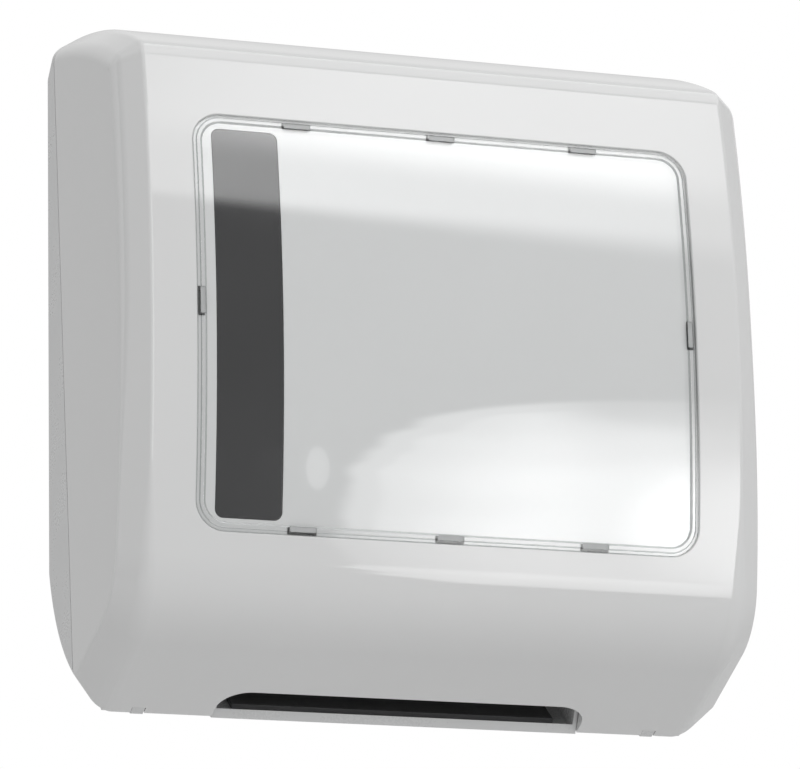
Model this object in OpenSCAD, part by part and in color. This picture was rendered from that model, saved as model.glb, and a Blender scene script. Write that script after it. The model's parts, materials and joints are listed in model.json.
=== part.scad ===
// Wall dispenser for interfolded paper towels, with a hinged front cover.
// Millimetres, Z up, X to the right of someone facing it, Y into the wall.
// The origin is the centre of the four wall screws, on the wall plane.

/* [Body outline] */
// Width across the back edges
body_w = 320; // [306:1:336]
// How far each side leans in between the wall and the bevel
side_lean = 4; // [2:0.5:6]
// Width of the bevel along each side, measured across the front
bevel_w = 12.3; // [10:0.1:14]
// Drop of the bevel, measured square to the front
bevel_drop = 10; // [8:0.5:11]
// Height of the top edge at the wall
crown_z = 183; // [176:1:190]
// Small cut along the top rear corner
crown_cut = 7; // [4:1:9]
// Depth of the top face
top_run = 109; // [104:1:114]
// Tilt of the top face at the wall
top_rear_tilt = 11; // [9:0.5:13]
// Tilt of the top face at its front edge
top_front_tilt = 29; // [26:0.5:32]
// Rounding between top and front
brow_r = 16; // [15:1:20]
// Height of the bulged front
front_h = 237; // [228:1:246]
// Backward lean of the front at its upper end
front_top_lean = 11; // [9:0.5:12]
// Backward lean of the front at its lower end
front_low_lean = 10.5; // [9:0.5:12]
// Rounding between front and underside
chin_r = 47; // [40:1:50]
// Slope of the underside
belly_tilt = 20; // [18:0.5:22]
// Depth of the lowest edge
foot_d = 31.5; // [30:0.5:34]
// Rounding of the lower rear corner
heel_r = 70; // [64:1:74]
// Rounding of that corner along the sides
heel_side_r = 97.5; // [94:0.5:102]
// Lean of the side rounding where it starts at the wall
heel_side_tilt = 16; // [14:0.5:18]
// Wall thickness of the mouldings
wall = 3; // [2.5:0.1:3.4]

/* [Split between chassis and cover] */
// Depth of the chassis at the top
split_top_d = 9; // [8:0.5:11]
// Depth of the chassis low down on the sides
split_low_d = 39; // [37:0.5:41]
// Height of that low point above the lowest edge
split_low_rise = 13; // [12:0.5:15]
// Open line between chassis and cover
split_gap = 0.8; // [0.6:0.1:1.2]

/* [Front panel] */
// Plain front left beside the panel
panel_side = 21.7; // [20:0.1:25]
// Plain front left above the panel
panel_above = 27.5; // [25:0.5:32]
// Plain front left below the panel
panel_below = 10.6; // [8:0.1:13]
// Corner rounding of the panel
panel_corner = 14; // [11:1:17]
// Depth of the panel seat
panel_seat = 2.4; // [2.2:0.1:2.8]
// Thickness of the clear sheet
sheet_t = 1.6; // [1.4:0.1:1.8]
// Width of the thicker rim of the clear panel
rim_w = 4.2; // [3.8:0.1:5]
// Rise of the rim above the sheet
rim_rise = 0.7; // [0.4:0.1:0.8]
// Length of a clip slot
clip_l = 14; // [12:1:16]
// Height of a clip slot
clip_h = 3.4; // [3.2:0.1:3.8]
// Distance of the outer clips from the middle one
clip_pitch = 71; // [66:1:76]
// Height of the side clips above the middle of the panel
clip_lift = 7; // [0:1:12]

/* [Level window] */
// Width of the window
window_w = 32; // [28:1:36]
// Gap between the window and the panel edge at its outer side
window_side = 9.5; // [8:0.5:12]
// Gap between the window and the panel edge at its ends
window_end = 6.5; // [6:0.5:10]
// Corner rounding of the window
window_corner = 4; // [3:0.5:6]

/* [Mouth and towel tray] */
// Width of the mouth
mouth_w = 181; // [170:1:190]
// Depth of the mouth up the underside
mouth_run = 23; // [21:0.5:24]
// Corner rounding of the mouth
mouth_corner = 15; // [12:1:17]
// Height of the wall around the mouth, inside
mouth_flange = 9; // [7:0.5:10]
// Width of the towel space
bay_w = 236; // [228:1:240]
// Height of the tray shelf above the lowest edge
shelf_rise = 30; // [28:1:34]
// Thickness of tray and guides
tray_t = 2.5; // [2.2:0.1:2.8]

/* [Hinge] */
// Diameter of the hinge pins
pin_d = 4; // [3.6:0.1:4.2]
// Outside radius of the hinge barrels
barrel_r = 3.5; // [3.4:0.1:3.7]
// Length of a cover barrel
barrel_l = 13; // [11:0.5:14]
// Length of a chassis ear
ear_l = 6; // [5:0.5:7]
// Side gap between barrel and ear
hinge_gap = 0.6; // [0.4:0.1:0.8]

/* [Lock] */
// Depth of the lock from the wall
lock_d = 26; // [25:0.5:28]
// Diameter of the threaded lock housing
lock_body_d = 16; // [15:0.5:16.5]
// Diameter of the turning plug
plug_d = 11; // [10:0.5:11.5]
// Length of the housing below its head
lock_body_l = 21; // [20:0.5:23]
// Reach of the cam from the lock axis
cam_reach = 18; // [17:0.5:19]
// Width of the cam
cam_w = 11; // [10:0.5:12]

/* [Wall screws] */
// Distance between the wall screws, across
screw_w = 200; // [180:1:208]
// Distance between the wall screws, up
screw_h = 180; // [170:1:190]
// Diameter of the wall screw holes
screw_hole_d = 5.5; // [5:0.1:6.5]

/* [Hidden] */
$fn = 48;
fine = 360;
eps = 0.01;
run_fit = 0.05;
slide_gap = 0.3;
over = 1;
fuse = 1;

// Headings along the outline, from the wall over the top to the underside.
h_rear = top_rear_tilt;
h_brow = top_front_tilt;
h_front = 90 - front_top_lean;
h_chin = 90 + front_low_lean;
h_belly = 180 - belly_tilt;

// Radii that follow from the lengths above.
top_r = top_run / (sin(h_brow) - sin(h_rear));
front_r = front_h / (cos(h_front) - cos(h_chin));

// Centres of the four arcs, as depth from the wall and height.
function back_off(p, r, h) = [p[0] - r * sin(h), p[1] - r * cos(h)];
function go_to(c, r, h) = [c[0] + r * sin(h), c[1] + r * cos(h)];
c_top = back_off([0, crown_z], top_r, h_rear);
p_brow = go_to(c_top, top_r, h_brow);
c_brow = back_off(p_brow, brow_r, h_brow);
p_front = go_to(c_brow, brow_r, h_front);
c_front = back_off(p_front, front_r, h_front);
p_chin = go_to(c_front, front_r, h_chin);
c_chin = back_off(p_chin, chin_r, h_chin);
p_belly = go_to(c_chin, chin_r, h_belly);

// Lowest edge, and the rounded heel behind it.
foot_z = p_belly[1] - (p_belly[0] - foot_d) * tan(belly_tilt);
heel_out = heel_r + bevel_drop;
heel_z = foot_z + sqrt(heel_out * heel_out - (foot_d - heel_r) * (foot_d - heel_r));
c_heel = [heel_r, heel_z];
c_heel_side = go_to([0, heel_z], heel_side_r, 90 - heel_side_tilt);

// Point where a line leaves a circle, used where the underside meets the heel.
function leave(p, u, c, r) = let (w = p - c, b = w * u) p + u * (sqrt(b * b - w * w + r * r) - b);
belly_dir = [cos(h_belly), -sin(h_belly)];

// Outline moved inwards by t, as points in Y and Z.
function arc(c, r, a0, a1, n, first) =
    [for (i = [first:n]) let (q = go_to(c, r, a0 + (a1 - a0) * i / n)) [-q[0], q[1]]];
function h_crown(t) = asin((crown_cut - c_top[0]) / (top_r - t));
function z_crown(t) = c_top[1] + (top_r - t) * cos(h_crown(t));
function heel_from(t, c, r) =
    let (q = leave(go_to(c_chin, chin_r - t, h_belly), belly_dir, c, r) - c)
    180 + atan2(-q[0], -q[1]);
function heel_to(c, r) = 180 + asin(min(1, c[0] / r));
function outline_on_heel(t, c, r) = concat(
    [[0, z_crown(t) - crown_cut]],
    arc(c_top, top_r - t, h_crown(t), h_brow, 10, 0),
    arc(c_brow, brow_r - t, h_brow, h_front, 8, 1),
    arc(c_front, front_r - t, h_front, h_chin, 18, 1),
    arc(c_chin, chin_r - t, h_chin, h_belly, 10, 1),
    arc(c, r, heel_from(t, c, r), heel_to(c, r), 10, 0));
function outline(t) = outline_on_heel(t, c_heel, heel_out - t);

// The same along the edge between bevel and side, where the heel is rounder.
function side_outline(t) = outline_on_heel(bevel_drop + t, c_heel_side, heel_side_r - t);

// Widths at the front and at the edge between bevel and side.
side_w = body_w - 2 * side_lean;
front_w = side_w - 2 * bevel_w;
mitre = 0.414;
mid_w = body_w - 2 * side_lean * split_low_d / (p_chin[0] - bevel_drop);
rear_band = 2;

// Height of the top face at a depth.
function top_at(d) = c_top[1] + sqrt(top_r * top_r - (d - c_top[0]) * (d - c_top[0]));

// Clear panel and what lies under it.
panel_w = front_w - 2 * panel_side;
panel_top = p_front[1] - panel_above;
panel_low = p_chin[1] + panel_below;
panel_h = panel_top - panel_low;
panel_z = (panel_top + panel_low) / 2;
seat_t = 2.6;
seat_r = front_r - panel_seat;
panel_gap = 0.3;
sheet_lift = 0.2;
sheet_in_r = seat_r + sheet_lift;
rim_out_r = sheet_in_r + sheet_t + rim_rise;
clip_in = 2.3;
hook_t = 1.6;
hook_side = 1;
hook_l = clip_l - 2 * hook_side;
hook_bite = 0.7;
hook_slack = 0.15;
hook_below = 2.6;
hook_end_r = seat_r - seat_t - hook_below;
window_x = -panel_w / 2 + window_side + window_w / 2;
window_h = panel_h - 2 * window_end;
window_flange = 3;
window_flange_t = 1.5;
window_end_lap = 1;
window_gap = 0.15;

// Back plate, bosses and screws.
back_t = 3;
boss_d = 9;
boss_r = 4.5;
wall_boss_r = 9;
wall_boss_d = 6;
st_r = 1.75;
st_head_r = 3.4;
st_head_t = 2.2;
st_tip_d = 2.4;
pilot_spare = 0.4;
slot_w = 0.8;
slot_deep = 1.2;
slot_part = 1.2;
rib_t = 2;
rib_x = 60;

// Hinge axis, set just inside the underside near the lowest edge.
axis_in = 3.9;
axis_up = 2.6;
axis_d = foot_d + axis_up * cos(belly_tilt) - axis_in * sin(belly_tilt);
axis_z = foot_z + axis_up * sin(belly_tilt) + axis_in * cos(belly_tilt);
barrel_x1 = front_w / 2 - hinge_gap;
barrel_x0 = barrel_x1 - barrel_l;
ear_x1 = barrel_x0 - hinge_gap;
ear_x0 = ear_x1 - ear_l;
sweep_r = 6;
pin_end = 0.5;
pin_end_gap = 0.3;
ear_r = axis_in + 0.7;
ear_swing = 0.4;
ear_skin = 0.2;
ear_pocket = [14, 16];

// Webs that tie the ears and barrels to their walls, as steps back and up from the hinge axis.
ear_web = [[0, -0.9 * barrel_r], [0, 0.9 * barrel_r], [18, 16], [22, 6], [12, 4 - barrel_r]];
barrel_web = [[1, -1], [-2, barrel_r - 0.5], [-16, 6], [-18, 3]];

// Towel tray: its shelf folds back under at the front and runs on into a trough above the heel.
shelf_z = foot_z + shelf_rise;
shelf_w = bay_w - 2 * slide_gap;
flange_z = 20;
flange_t = 2.2;
gusset = 5;
throat_d = 24;
fold_d = 5.4;
trough_r = heel_out - wall - slide_gap;
trough_front = 212;
trough_rear = 229.5;
trough_lead = 2;

// Sill of the chassis behind the mouth, and the cheeks that close its ends.
sill_side = 0.5;
sill_w = mouth_w - 2 * sill_side;
cheek_t = 2;
cheek_top = shelf_z - tray_t - slide_gap;
trough_w = sill_w - 2 * (cheek_t + slide_gap);
tray_screw_x = 42;
tray_screw_up = 11;
tray_screw_z = shelf_z + tray_screw_up;

// Side guides.
guide_lift = 1;
guide_low = shelf_z + guide_lift;
guide_top = 62;
guide_reach = 74;
guide_foot = 13;
guide_screw_in = 6.5;
guide_notch = 20;
guide_rib = 14;
guide_rib_zs = [guide_low + 2 * guide_notch, guide_top - guide_foot + fuse];
guide_bead = 0.8;
guide_screw_x = bay_w / 2 + tray_t + guide_screw_in;
guide_screw_zs = [-60, 40];

// Lock, from its seat downwards.
lock_head_over = 2;
lock_head_r = lock_body_d / 2 + lock_head_over;
lock_head_gap = 0.6;
lock_hole_gap = 0.15;
lock_boss_over = 4;
lock_sink = 1;
lock_seat_z = top_at(lock_d + lock_head_r + lock_head_gap) - lock_sink;
lock_seat_t = 4.5;
lock_head_t = 2;
thread_n = 8;
thread_pitch = 1.5;
thread_deep = 0.5;
washer_t = 1;
washer_over = 0.5;
nut_t = 5;
nut_over = 3.5;
nut_r = lock_body_d / 2 + nut_over;
key_w = 1.6;
key_l = 7;
key_deep = 14;
housing_end_z = lock_seat_z - lock_body_l;
stop_t = 1.2;
cam_t = 2.5;
tang = 7;
stop_over = 1.5;
stop_tab = 3;
cam_hub_over = 1;
stop_z = housing_end_z - slide_gap - stop_t;
cam_z = stop_z - cam_t;
cam_screw_r = 2;
cam_screw_l = 5.5;
cam_head_r = 5.2;
cam_head_t = 2.4;
keeper_t = 2.6;
keeper_gap = 0.8;
keeper_side = 2;
keeper_x0 = lock_body_d / 2 + keeper_side;
keeper_w = 18;
keeper_lip_d = lock_d + cam_w / 2 + keeper_gap;
keeper_below = 6;
keeper_above = 3;
keeper_arm_z = cam_z - keeper_below;
keeper_flange_h = 20;
keeper_screw_in = 4;
keeper_screw_down = 12;
keeper_screw_z = keeper_arm_z - keeper_screw_down;

// Helpers
module prism(points, w) {
    rotate([90, 0, 90])
        linear_extrude(height = w, center = true)
            polygon(points);
}

module across(r, w) {
    rotate([0, 90, 0])
        cylinder(r = r, h = w, center = true);
}

// A pin or hole that points out from the wall, from depth d0 to depth d1.
module outward(r, d0, d1) {
    rotate([90, 0, 0])
        translate([0, 0, d0])
            cylinder(r = r, h = d1 - d0);
}

module rounded(w, h, r) {
    square([w - 2 * r, h], center = true);
    square([w, h - 2 * r], center = true);
    for (sx = [-1, 1])
        for (sz = [-1, 1])
            translate([sx * (w / 2 - r), sz * (h / 2 - r)])
                circle(r = r);
}

// A rounded block reaching out from the wall over the whole depth.
module block_out(w, h, r, x, z) {
    translate([x, 0, z])
        rotate([90, 0, 0])
            linear_extrude(height = front_r)
                rounded(w, h, r);
}

// Everything inside the front arc once its radius is r.
module front_drum(r) {
    translate([0, -c_front[0], c_front[1]])
        rotate([0, 90, 0])
            cylinder(r = r, h = 2 * body_w, center = true, $fn = fine);
}

// Whole outside, moved inwards by t.
module envelope(t) {
    hull() {
        prism(outline(t), front_w - 2 * mitre * t);
        prism(side_outline(mitre * t), side_w - 2 * t);
        intersection() {
            prism(side_outline(mitre * t), mid_w - 2 * t);
            translate([-body_w, -split_low_d, -2 * front_h])
                cube([2 * body_w, split_low_d, 4 * front_h]);
        }
        intersection() {
            prism(side_outline(mitre * t), body_w - 2 * t);
            translate([-body_w, -rear_band, -2 * front_h])
                cube([2 * body_w, rear_band, 4 * front_h]);
        }
    }
}

// Side view of all that lies in front of the split, moved forward by g.
module ahead_of_split(g) {
    prism([[-split_top_d - g, crown_z + wall], [-split_low_d - g, foot_z + split_low_rise],
           [-foot_d + 1 - g, foot_z - wall], [-2 * front_h, foot_z - wall],
           [-2 * front_h, crown_z + wall]], 2 * body_w);
}

// Underside frame: X across, Y up the slope from the lowest edge, Z outwards.
module on_belly() {
    translate([0, -foot_d, foot_z])
        rotate([180 - belly_tilt, 0, 0])
            children();
}

module mouth_outline(grow) {
    w = mouth_w + 2 * grow;
    r = mouth_corner + grow;
    translate([0, mouth_run + grow - 2 * r])
        rounded(w, 4 * r, r);
}

module at_hinge() {
    translate([0, -axis_d, axis_z])
        children();
}

module at_lock() {
    translate([0, -lock_d, 0])
        children();
}

module clip_places() {
    for (sx = [-1, 0, 1])
        for (sz = [-1, 1])
            translate([sx * clip_pitch, 0, panel_z + sz * (panel_h / 2 - clip_in)])
                rotate([0, -sz * 90, 0])
                    children();
    for (sx = [-1, 1])
        translate([sx * (panel_w / 2 - clip_in), 0, panel_z + clip_lift])
            rotate([0, 90 - sx * 90, 0])
                children();
}

// Pan head screw driven towards the wall, its head resting at depth d.
module tapping_screw(d) {
    outward(st_r, st_tip_d, d + eps);
    difference() {
        outward(st_head_r, d, d + st_head_t);
        for (a = [0, 90])
            rotate([0, a, 0])
                translate([-st_head_r * slot_part / 2, -d - st_head_t - eps, -slot_w / 2])
                    cube([st_head_r * slot_part, slot_deep, slot_w]);
    }
}

module tray_screw_places() {
    for (x = [-2, -1, 1, 2])
        translate([x * tray_screw_x, 0, tray_screw_z])
            children();
}

module guide_screw_places() {
    for (sx = [-1, 1])
        for (z = guide_screw_zs)
            translate([sx * guide_screw_x, 0, z])
                children();
}

module keeper_screw_places() {
    for (x = [keeper_x0 + keeper_screw_in, keeper_x0 + keeper_w - keeper_screw_in])
        translate([x, 0, keeper_screw_z])
            children();
}

module screw_pillars() {
    tray_screw_places() outward(boss_r, 0, boss_d);
    guide_screw_places() outward(boss_r, 0, boss_d);
    keeper_screw_places() outward(boss_r, 0, boss_d);
}

module screw_pilots() {
    tray_screw_places() outward(st_r + run_fit, st_tip_d - pilot_spare, boss_d + over);
    guide_screw_places() outward(st_r + run_fit, st_tip_d - pilot_spare, boss_d + over);
    keeper_screw_places() outward(st_r + run_fit, st_tip_d - pilot_spare, boss_d + over);
}

// Fixed pieces on the wall
module back_ribs() {
    for (x = [-rib_x, 0, rib_x])
        translate([x - rib_t / 2, -wall_boss_d, -screw_h / 2])
            cube([rib_t, wall_boss_d - fuse, screw_h]);
    for (z = [-screw_h / 2, screw_h / 2])
        translate([-screw_w / 2, -wall_boss_d, z - rib_t / 2])
            cube([screw_w, wall_boss_d - fuse, rib_t]);
}

// Plates between the back and the split that close the space behind the mouth.
module cheeks() {
    difference() {
        for (sx = [-1, 1])
            translate([sx * (sill_w - cheek_t) / 2 - cheek_t / 2, -2 * split_low_d, foot_z - wall])
                cube([cheek_t, 2 * split_low_d - fuse, cheek_top - foot_z + wall]);
        ahead_of_split(-split_gap / 2);
    }
}

// Room beside the sill for the lowest edge of the cover as it swings.
module hinge_sweep() {
    for (sx = [-1, 1])
        translate([sx * (sill_w + body_w) / 2, 0, 0])
            at_hinge() across(sweep_r, body_w);
}

module ear() {
    translate([ear_x0 + ear_l / 2, 0, 0]) {
        at_hinge() across(ear_r, ear_l);
        prism([for (q = ear_web) [q[0] - axis_d, q[1] + axis_z]], ear_l);
    }
}

module rear_chassis() {
    color([0.88, 0.88, 0.87])
    difference() {
        union() {
            difference() {
                envelope(0);
                difference() {
                    envelope(wall);
                    translate([0, 0, crown_z - front_h])
                        cube([2 * body_w, 2 * back_t, 4 * front_h], center = true);
                }
                ahead_of_split(-split_gap / 2);
                hinge_sweep();
            }
            intersection() {
                envelope(wall / 2);
                union() {
                    back_ribs();
                    screw_pillars();
                    cheeks();
                    for (sx = [-1, 1])
                        for (sz = [-1, 1])
                            translate([sx * screw_w / 2, 0, sz * screw_h / 2])
                                outward(wall_boss_r, 0, wall_boss_d);
                }
            }
            intersection() {
                envelope(ear_skin);
                union() {
                    ear();
                    mirror([1, 0, 0]) ear();
                }
            }
        }
        for (sx = [-1, 1])
            for (sz = [-1, 1])
                translate([sx * screw_w / 2, 0, sz * screw_h / 2])
                    outward(screw_hole_d / 2, -over, wall_boss_d + over);
        screw_pilots();
        at_hinge() across(pin_d / 2, 2 * (ear_x1 + over));
    }
}

module towel_tray() {
    color([0.3, 0.3, 0.31])
    difference() {
        union() {
            prism([[-boss_d, shelf_z - tray_t], [-boss_d, shelf_z + flange_z],
                   [-boss_d - tray_t, shelf_z + flange_z], [-boss_d - tray_t, shelf_z],
                   [-throat_d, shelf_z], [-throat_d, shelf_z - tray_t]], shelf_w);
            prism(concat([[-throat_d + fold_d, shelf_z - tray_t], [-throat_d, shelf_z]],
                         arc(c_heel, trough_r - tray_t, trough_rear - trough_lead, trough_front, 6, 0),
                         arc(c_heel, trough_r, trough_front, trough_rear, 6, 0)), trough_w);
            for (x = [-1.5, -0.5, 0.5, 1.5])
                translate([x * tray_screw_x, 0, 0])
                    prism([[-boss_d - tray_t, shelf_z - eps], [-boss_d - tray_t, shelf_z + gusset],
                           [-throat_d + rib_t, shelf_z - eps]], rib_t);
        }
        tray_screw_places() outward(st_r + slide_gap, boss_d - over, boss_d + tray_t + over);
    }
}

module tray_screws() {
    color([0.7, 0.71, 0.73])
    tray_screw_places() tapping_screw(boss_d + tray_t);
}

// Guide on the right; the left one is its mirror image.
module guide() {
    difference() {
        union() {
            translate([bay_w / 2, -guide_reach, guide_low])
                cube([tray_t, guide_reach - boss_d, guide_top - guide_low]);
            translate([bay_w / 2, -boss_d - tray_t, guide_low + guide_notch])
                cube([guide_foot, tray_t, guide_top - guide_low - guide_notch]);
            translate([bay_w / 2 + tray_t / 2, -guide_reach, guide_low])
                cylinder(r = tray_t * guide_bead, h = guide_top - guide_low);
            for (z = guide_rib_zs)
                translate([0, 0, z])
                    linear_extrude(height = rib_t)
                        polygon([[bay_w / 2 + tray_t - eps, -boss_d - tray_t + eps],
                                 [bay_w / 2 + guide_foot, -boss_d - tray_t + eps],
                                 [bay_w / 2 + tray_t - eps, -boss_d - tray_t - guide_rib]]);
        }
        guide_screw_places() outward(st_r + slide_gap, boss_d - over, boss_d + tray_t + over);
    }
}

module side_guide_right() {
    color([0.3, 0.3, 0.31])
    guide();
}

module side_guide_left() {
    color([0.3, 0.3, 0.31])
    mirror([1, 0, 0]) guide();
}

module guide_screws() {
    color([0.7, 0.71, 0.73])
    guide_screw_places() tapping_screw(boss_d + tray_t);
}

module lock_keeper() {
    color([0.72, 0.73, 0.74])
    difference() {
        union() {
            translate([keeper_x0, -boss_d - keeper_t, keeper_arm_z - keeper_flange_h])
                cube([keeper_w, keeper_t, keeper_flange_h]);
            translate([keeper_x0, -keeper_lip_d - keeper_t, keeper_arm_z - keeper_t])
                cube([keeper_w, keeper_lip_d + keeper_t - boss_d, keeper_t]);
            translate([keeper_x0, -keeper_lip_d - keeper_t, keeper_arm_z - keeper_t])
                cube([keeper_w, keeper_t, cam_z + cam_t + keeper_above - keeper_arm_z + keeper_t]);
        }
        keeper_screw_places() outward(st_r + slide_gap, boss_d - over, boss_d + keeper_t + over);
    }
}

module keeper_screws() {
    color([0.7, 0.71, 0.73])
    keeper_screw_places() tapping_screw(boss_d + keeper_t);
}

module hinge_pin() {
    translate([ear_x0 + pin_end, -axis_d, axis_z])
        rotate([0, 90, 0])
            cylinder(d = pin_d, h = barrel_x1 - ear_x0 - 2 * pin_end);
}

module hinge_pin_right() {
    color([0.76, 0.77, 0.79])
    hinge_pin();
}

module hinge_pin_left() {
    color([0.76, 0.77, 0.79])
    mirror([1, 0, 0]) hinge_pin();
}

// Pieces that swing with the cover
module cover_hinge_solid() {
    at_hinge()
        translate([(barrel_x0 + barrel_x1) / 2, 0, 0])
            across(barrel_r, barrel_l);
    translate([(barrel_x0 + barrel_x1) / 2, 0, 0])
        prism([for (q = barrel_web) [q[0] - axis_d, q[1] + axis_z]], barrel_l);
}

module pin_bore() {
    x0 = barrel_x0 - hinge_gap;
    x1 = barrel_x1 - pin_end + pin_end_gap;
    at_hinge()
        translate([(x0 + x1) / 2, 0, 0])
            across(pin_d / 2 + run_fit, x1 - x0);
}

module ear_clearance() {
    x0 = ear_x0 - hinge_gap;
    x1 = ear_x1 + hinge_gap;
    translate([(x0 + x1) / 2, 0, 0]) {
        at_hinge() across(ear_r + ear_swing, x1 - x0);
        translate([-(x1 - x0) / 2, -axis_d, axis_z - ear_pocket[1] / 2])
            cube([x1 - x0, ear_pocket[0], ear_pocket[1]]);
    }
}

module lock_boss() {
    intersection() {
        envelope(wall / 2);
        at_lock()
            translate([0, 0, lock_seat_z - lock_seat_t])
                cylinder(r = lock_head_r + lock_boss_over, h = 4 * lock_body_l);
    }
}

module front_cover() {
    color([0.93, 0.93, 0.92])
    difference() {
        union() {
            difference() {
                intersection() {
                    envelope(0);
                    ahead_of_split(split_gap / 2);
                }
                envelope(wall);
            }
            intersection() {
                block_out(panel_w + 2 * seat_t, panel_h + 2 * seat_t, panel_corner + seat_t, 0, panel_z);
                difference() {
                    front_drum(front_r - fuse);
                    front_drum(seat_r - seat_t);
                }
            }
            intersection() {
                on_belly()
                    difference() {
                        translate([0, 0, -mouth_flange - wall])
                            linear_extrude(height = mouth_flange + wall - fuse)
                                mouth_outline(flange_t);
                        translate([-mouth_w, -2 * mouth_w, -2 * mouth_flange])
                            cube([2 * mouth_w, 2 * mouth_w, 4 * mouth_flange]);
                    }
                ahead_of_split(split_gap / 2);
            }
            lock_boss();
            cover_hinge_solid();
            mirror([1, 0, 0]) cover_hinge_solid();
        }
        difference() {
            block_out(panel_w, panel_h, panel_corner, 0, panel_z);
            front_drum(seat_r);
        }
        clip_places()
            translate([-clip_h / 2, -2 * front_r, -clip_l / 2])
                cube([clip_h, 2 * front_r, clip_l]);
        block_out(window_w, window_h, window_corner, window_x, panel_z);
        on_belly()
            translate([0, 0, -2 * mouth_flange])
                linear_extrude(height = 4 * mouth_flange)
                    mouth_outline(0);
        at_lock() {
            translate([0, 0, lock_seat_z])
                cylinder(r = lock_head_r + lock_head_gap, h = 3 * lock_body_l);
            translate([0, 0, lock_seat_z - 2 * lock_seat_t])
                cylinder(r = lock_body_d / 2 + lock_hole_gap, h = 3 * lock_seat_t);
        }
        pin_bore();
        mirror([1, 0, 0]) pin_bore();
        ear_clearance();
        mirror([1, 0, 0]) ear_clearance();
    }
}

module level_window() {
    color([0.2, 0.21, 0.22, 0.75])
    union() {
        intersection() {
            block_out(window_w - 2 * window_gap, window_h - 2 * window_gap,
                      window_corner - window_gap, window_x, panel_z);
            difference() {
                front_drum(seat_r);
                front_drum(seat_r - seat_t - eps);
            }
        }
        intersection() {
            block_out(window_w + 2 * window_flange, window_h + 2 * window_end_lap,
                      window_corner, window_x, panel_z);
            difference() {
                front_drum(seat_r - seat_t);
                front_drum(seat_r - seat_t - window_flange_t);
            }
        }
    }
}

module clear_panel() {
    w = panel_w - 2 * panel_gap;
    h = panel_h - 2 * panel_gap;
    r = panel_corner - panel_gap;
    color([0.86, 0.9, 0.92, 0.35])
    union() {
        intersection() {
            block_out(w, h, r, 0, panel_z);
            difference() {
                front_drum(sheet_in_r + sheet_t);
                front_drum(sheet_in_r);
            }
        }
        intersection() {
            difference() {
                block_out(w, h, r, 0, panel_z);
                block_out(w - 2 * rim_w, h - 2 * rim_w, r - rim_w, 0, panel_z);
            }
            difference() {
                front_drum(rim_out_r);
                front_drum(sheet_in_r);
            }
        }
        intersection() {
            clip_places()
                translate([-hook_t / 2, -2 * front_r, -hook_l / 2])
                    cube([hook_t, 2 * front_r, hook_l]);
            difference() {
                front_drum(sheet_in_r + sheet_t / 2);
                front_drum(hook_end_r);
            }
        }
        intersection() {
            clip_places()
                translate([0, -2 * front_r, -hook_l / 2])
                    cube([clip_h / 2 + hook_bite, 2 * front_r, hook_l]);
            difference() {
                front_drum(seat_r - seat_t - hook_slack);
                front_drum(hook_end_r);
            }
        }
    }
}

module lock_housing() {
    color([0.78, 0.79, 0.81])
    at_lock()
    difference() {
        union() {
            translate([0, 0, lock_seat_z])
                cylinder(r = lock_head_r, h = lock_head_t);
            translate([0, 0, housing_end_z])
                cylinder(d = lock_body_d, h = lock_body_l + eps);
        }
        translate([0, 0, housing_end_z - over])
            cylinder(d = plug_d + 2 * run_fit, h = 2 * lock_body_l);
        for (i = [1:thread_n])
            translate([0, 0, housing_end_z + i * thread_pitch])
                rotate_extrude()
                    polygon([[lock_body_d / 2 - thread_deep, 0],
                             [lock_body_d / 2 + slide_gap, -thread_pitch * 0.4],
                             [lock_body_d / 2 + slide_gap, thread_pitch * 0.4]]);
    }
}

module lock_washer() {
    color([0.74, 0.75, 0.77])
    at_lock()
    translate([0, 0, lock_seat_z - lock_seat_t - washer_t])
        difference() {
            cylinder(r = nut_r + washer_over, h = washer_t);
            translate([0, 0, -over])
                cylinder(r = lock_body_d / 2 + lock_hole_gap, h = washer_t + 2 * over);
        }
}

module lock_nut() {
    color([0.74, 0.75, 0.77])
    at_lock()
    translate([0, 0, lock_seat_z - lock_seat_t - washer_t - nut_t])
        difference() {
            cylinder(r = nut_r, h = nut_t, $fn = 6);
            translate([0, 0, -over])
                cylinder(r = lock_body_d / 2 + run_fit, h = nut_t + 2 * over);
        }
}

// Pieces that turn with the key
module lock_plug() {
    face_z = lock_seat_z + lock_head_t;
    color([0.82, 0.8, 0.72])
    at_lock()
    difference() {
        union() {
            translate([0, 0, housing_end_z - slide_gap])
                cylinder(d = plug_d, h = face_z - housing_end_z + slide_gap);
            translate([-tang / 2, -tang / 2, cam_z])
                cube([tang, tang, stop_t + cam_t + eps]);
        }
        translate([-key_w / 2, -key_l / 2, face_z - key_deep])
            cube([key_w, key_l, key_deep + over]);
        translate([0, 0, cam_z - over])
            cylinder(r = cam_screw_r + run_fit, h = cam_screw_l + 1.5 * over);
    }
}

module stop_washer() {
    color([0.74, 0.75, 0.77])
    at_lock()
    translate([0, 0, stop_z])
        difference() {
            union() {
                cylinder(r = plug_d / 2 + stop_over, h = stop_t);
                translate([0, -stop_tab / 2, 0])
                    cube([plug_d / 2 + 2 * stop_over, stop_tab, stop_t]);
            }
            translate([-tang / 2 - run_fit, -tang / 2 - run_fit, -over])
                cube([tang + 2 * run_fit, tang + 2 * run_fit, stop_t + 2 * over]);
        }
}

module lock_cam() {
    color([0.74, 0.75, 0.77])
    at_lock()
    translate([0, 0, cam_z])
        difference() {
            union() {
                cylinder(r = cam_w / 2 + cam_hub_over, h = cam_t);
                translate([-cam_w / 2, 0, 0])
                    cube([cam_w, cam_reach - cam_w / 2, cam_t]);
                translate([0, cam_reach - cam_w / 2, 0])
                    cylinder(d = cam_w, h = cam_t);
            }
            translate([-tang / 2 - run_fit, -tang / 2 - run_fit, -over])
                cube([tang + 2 * run_fit, tang + 2 * run_fit, cam_t + 2 * over]);
        }
}

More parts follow.
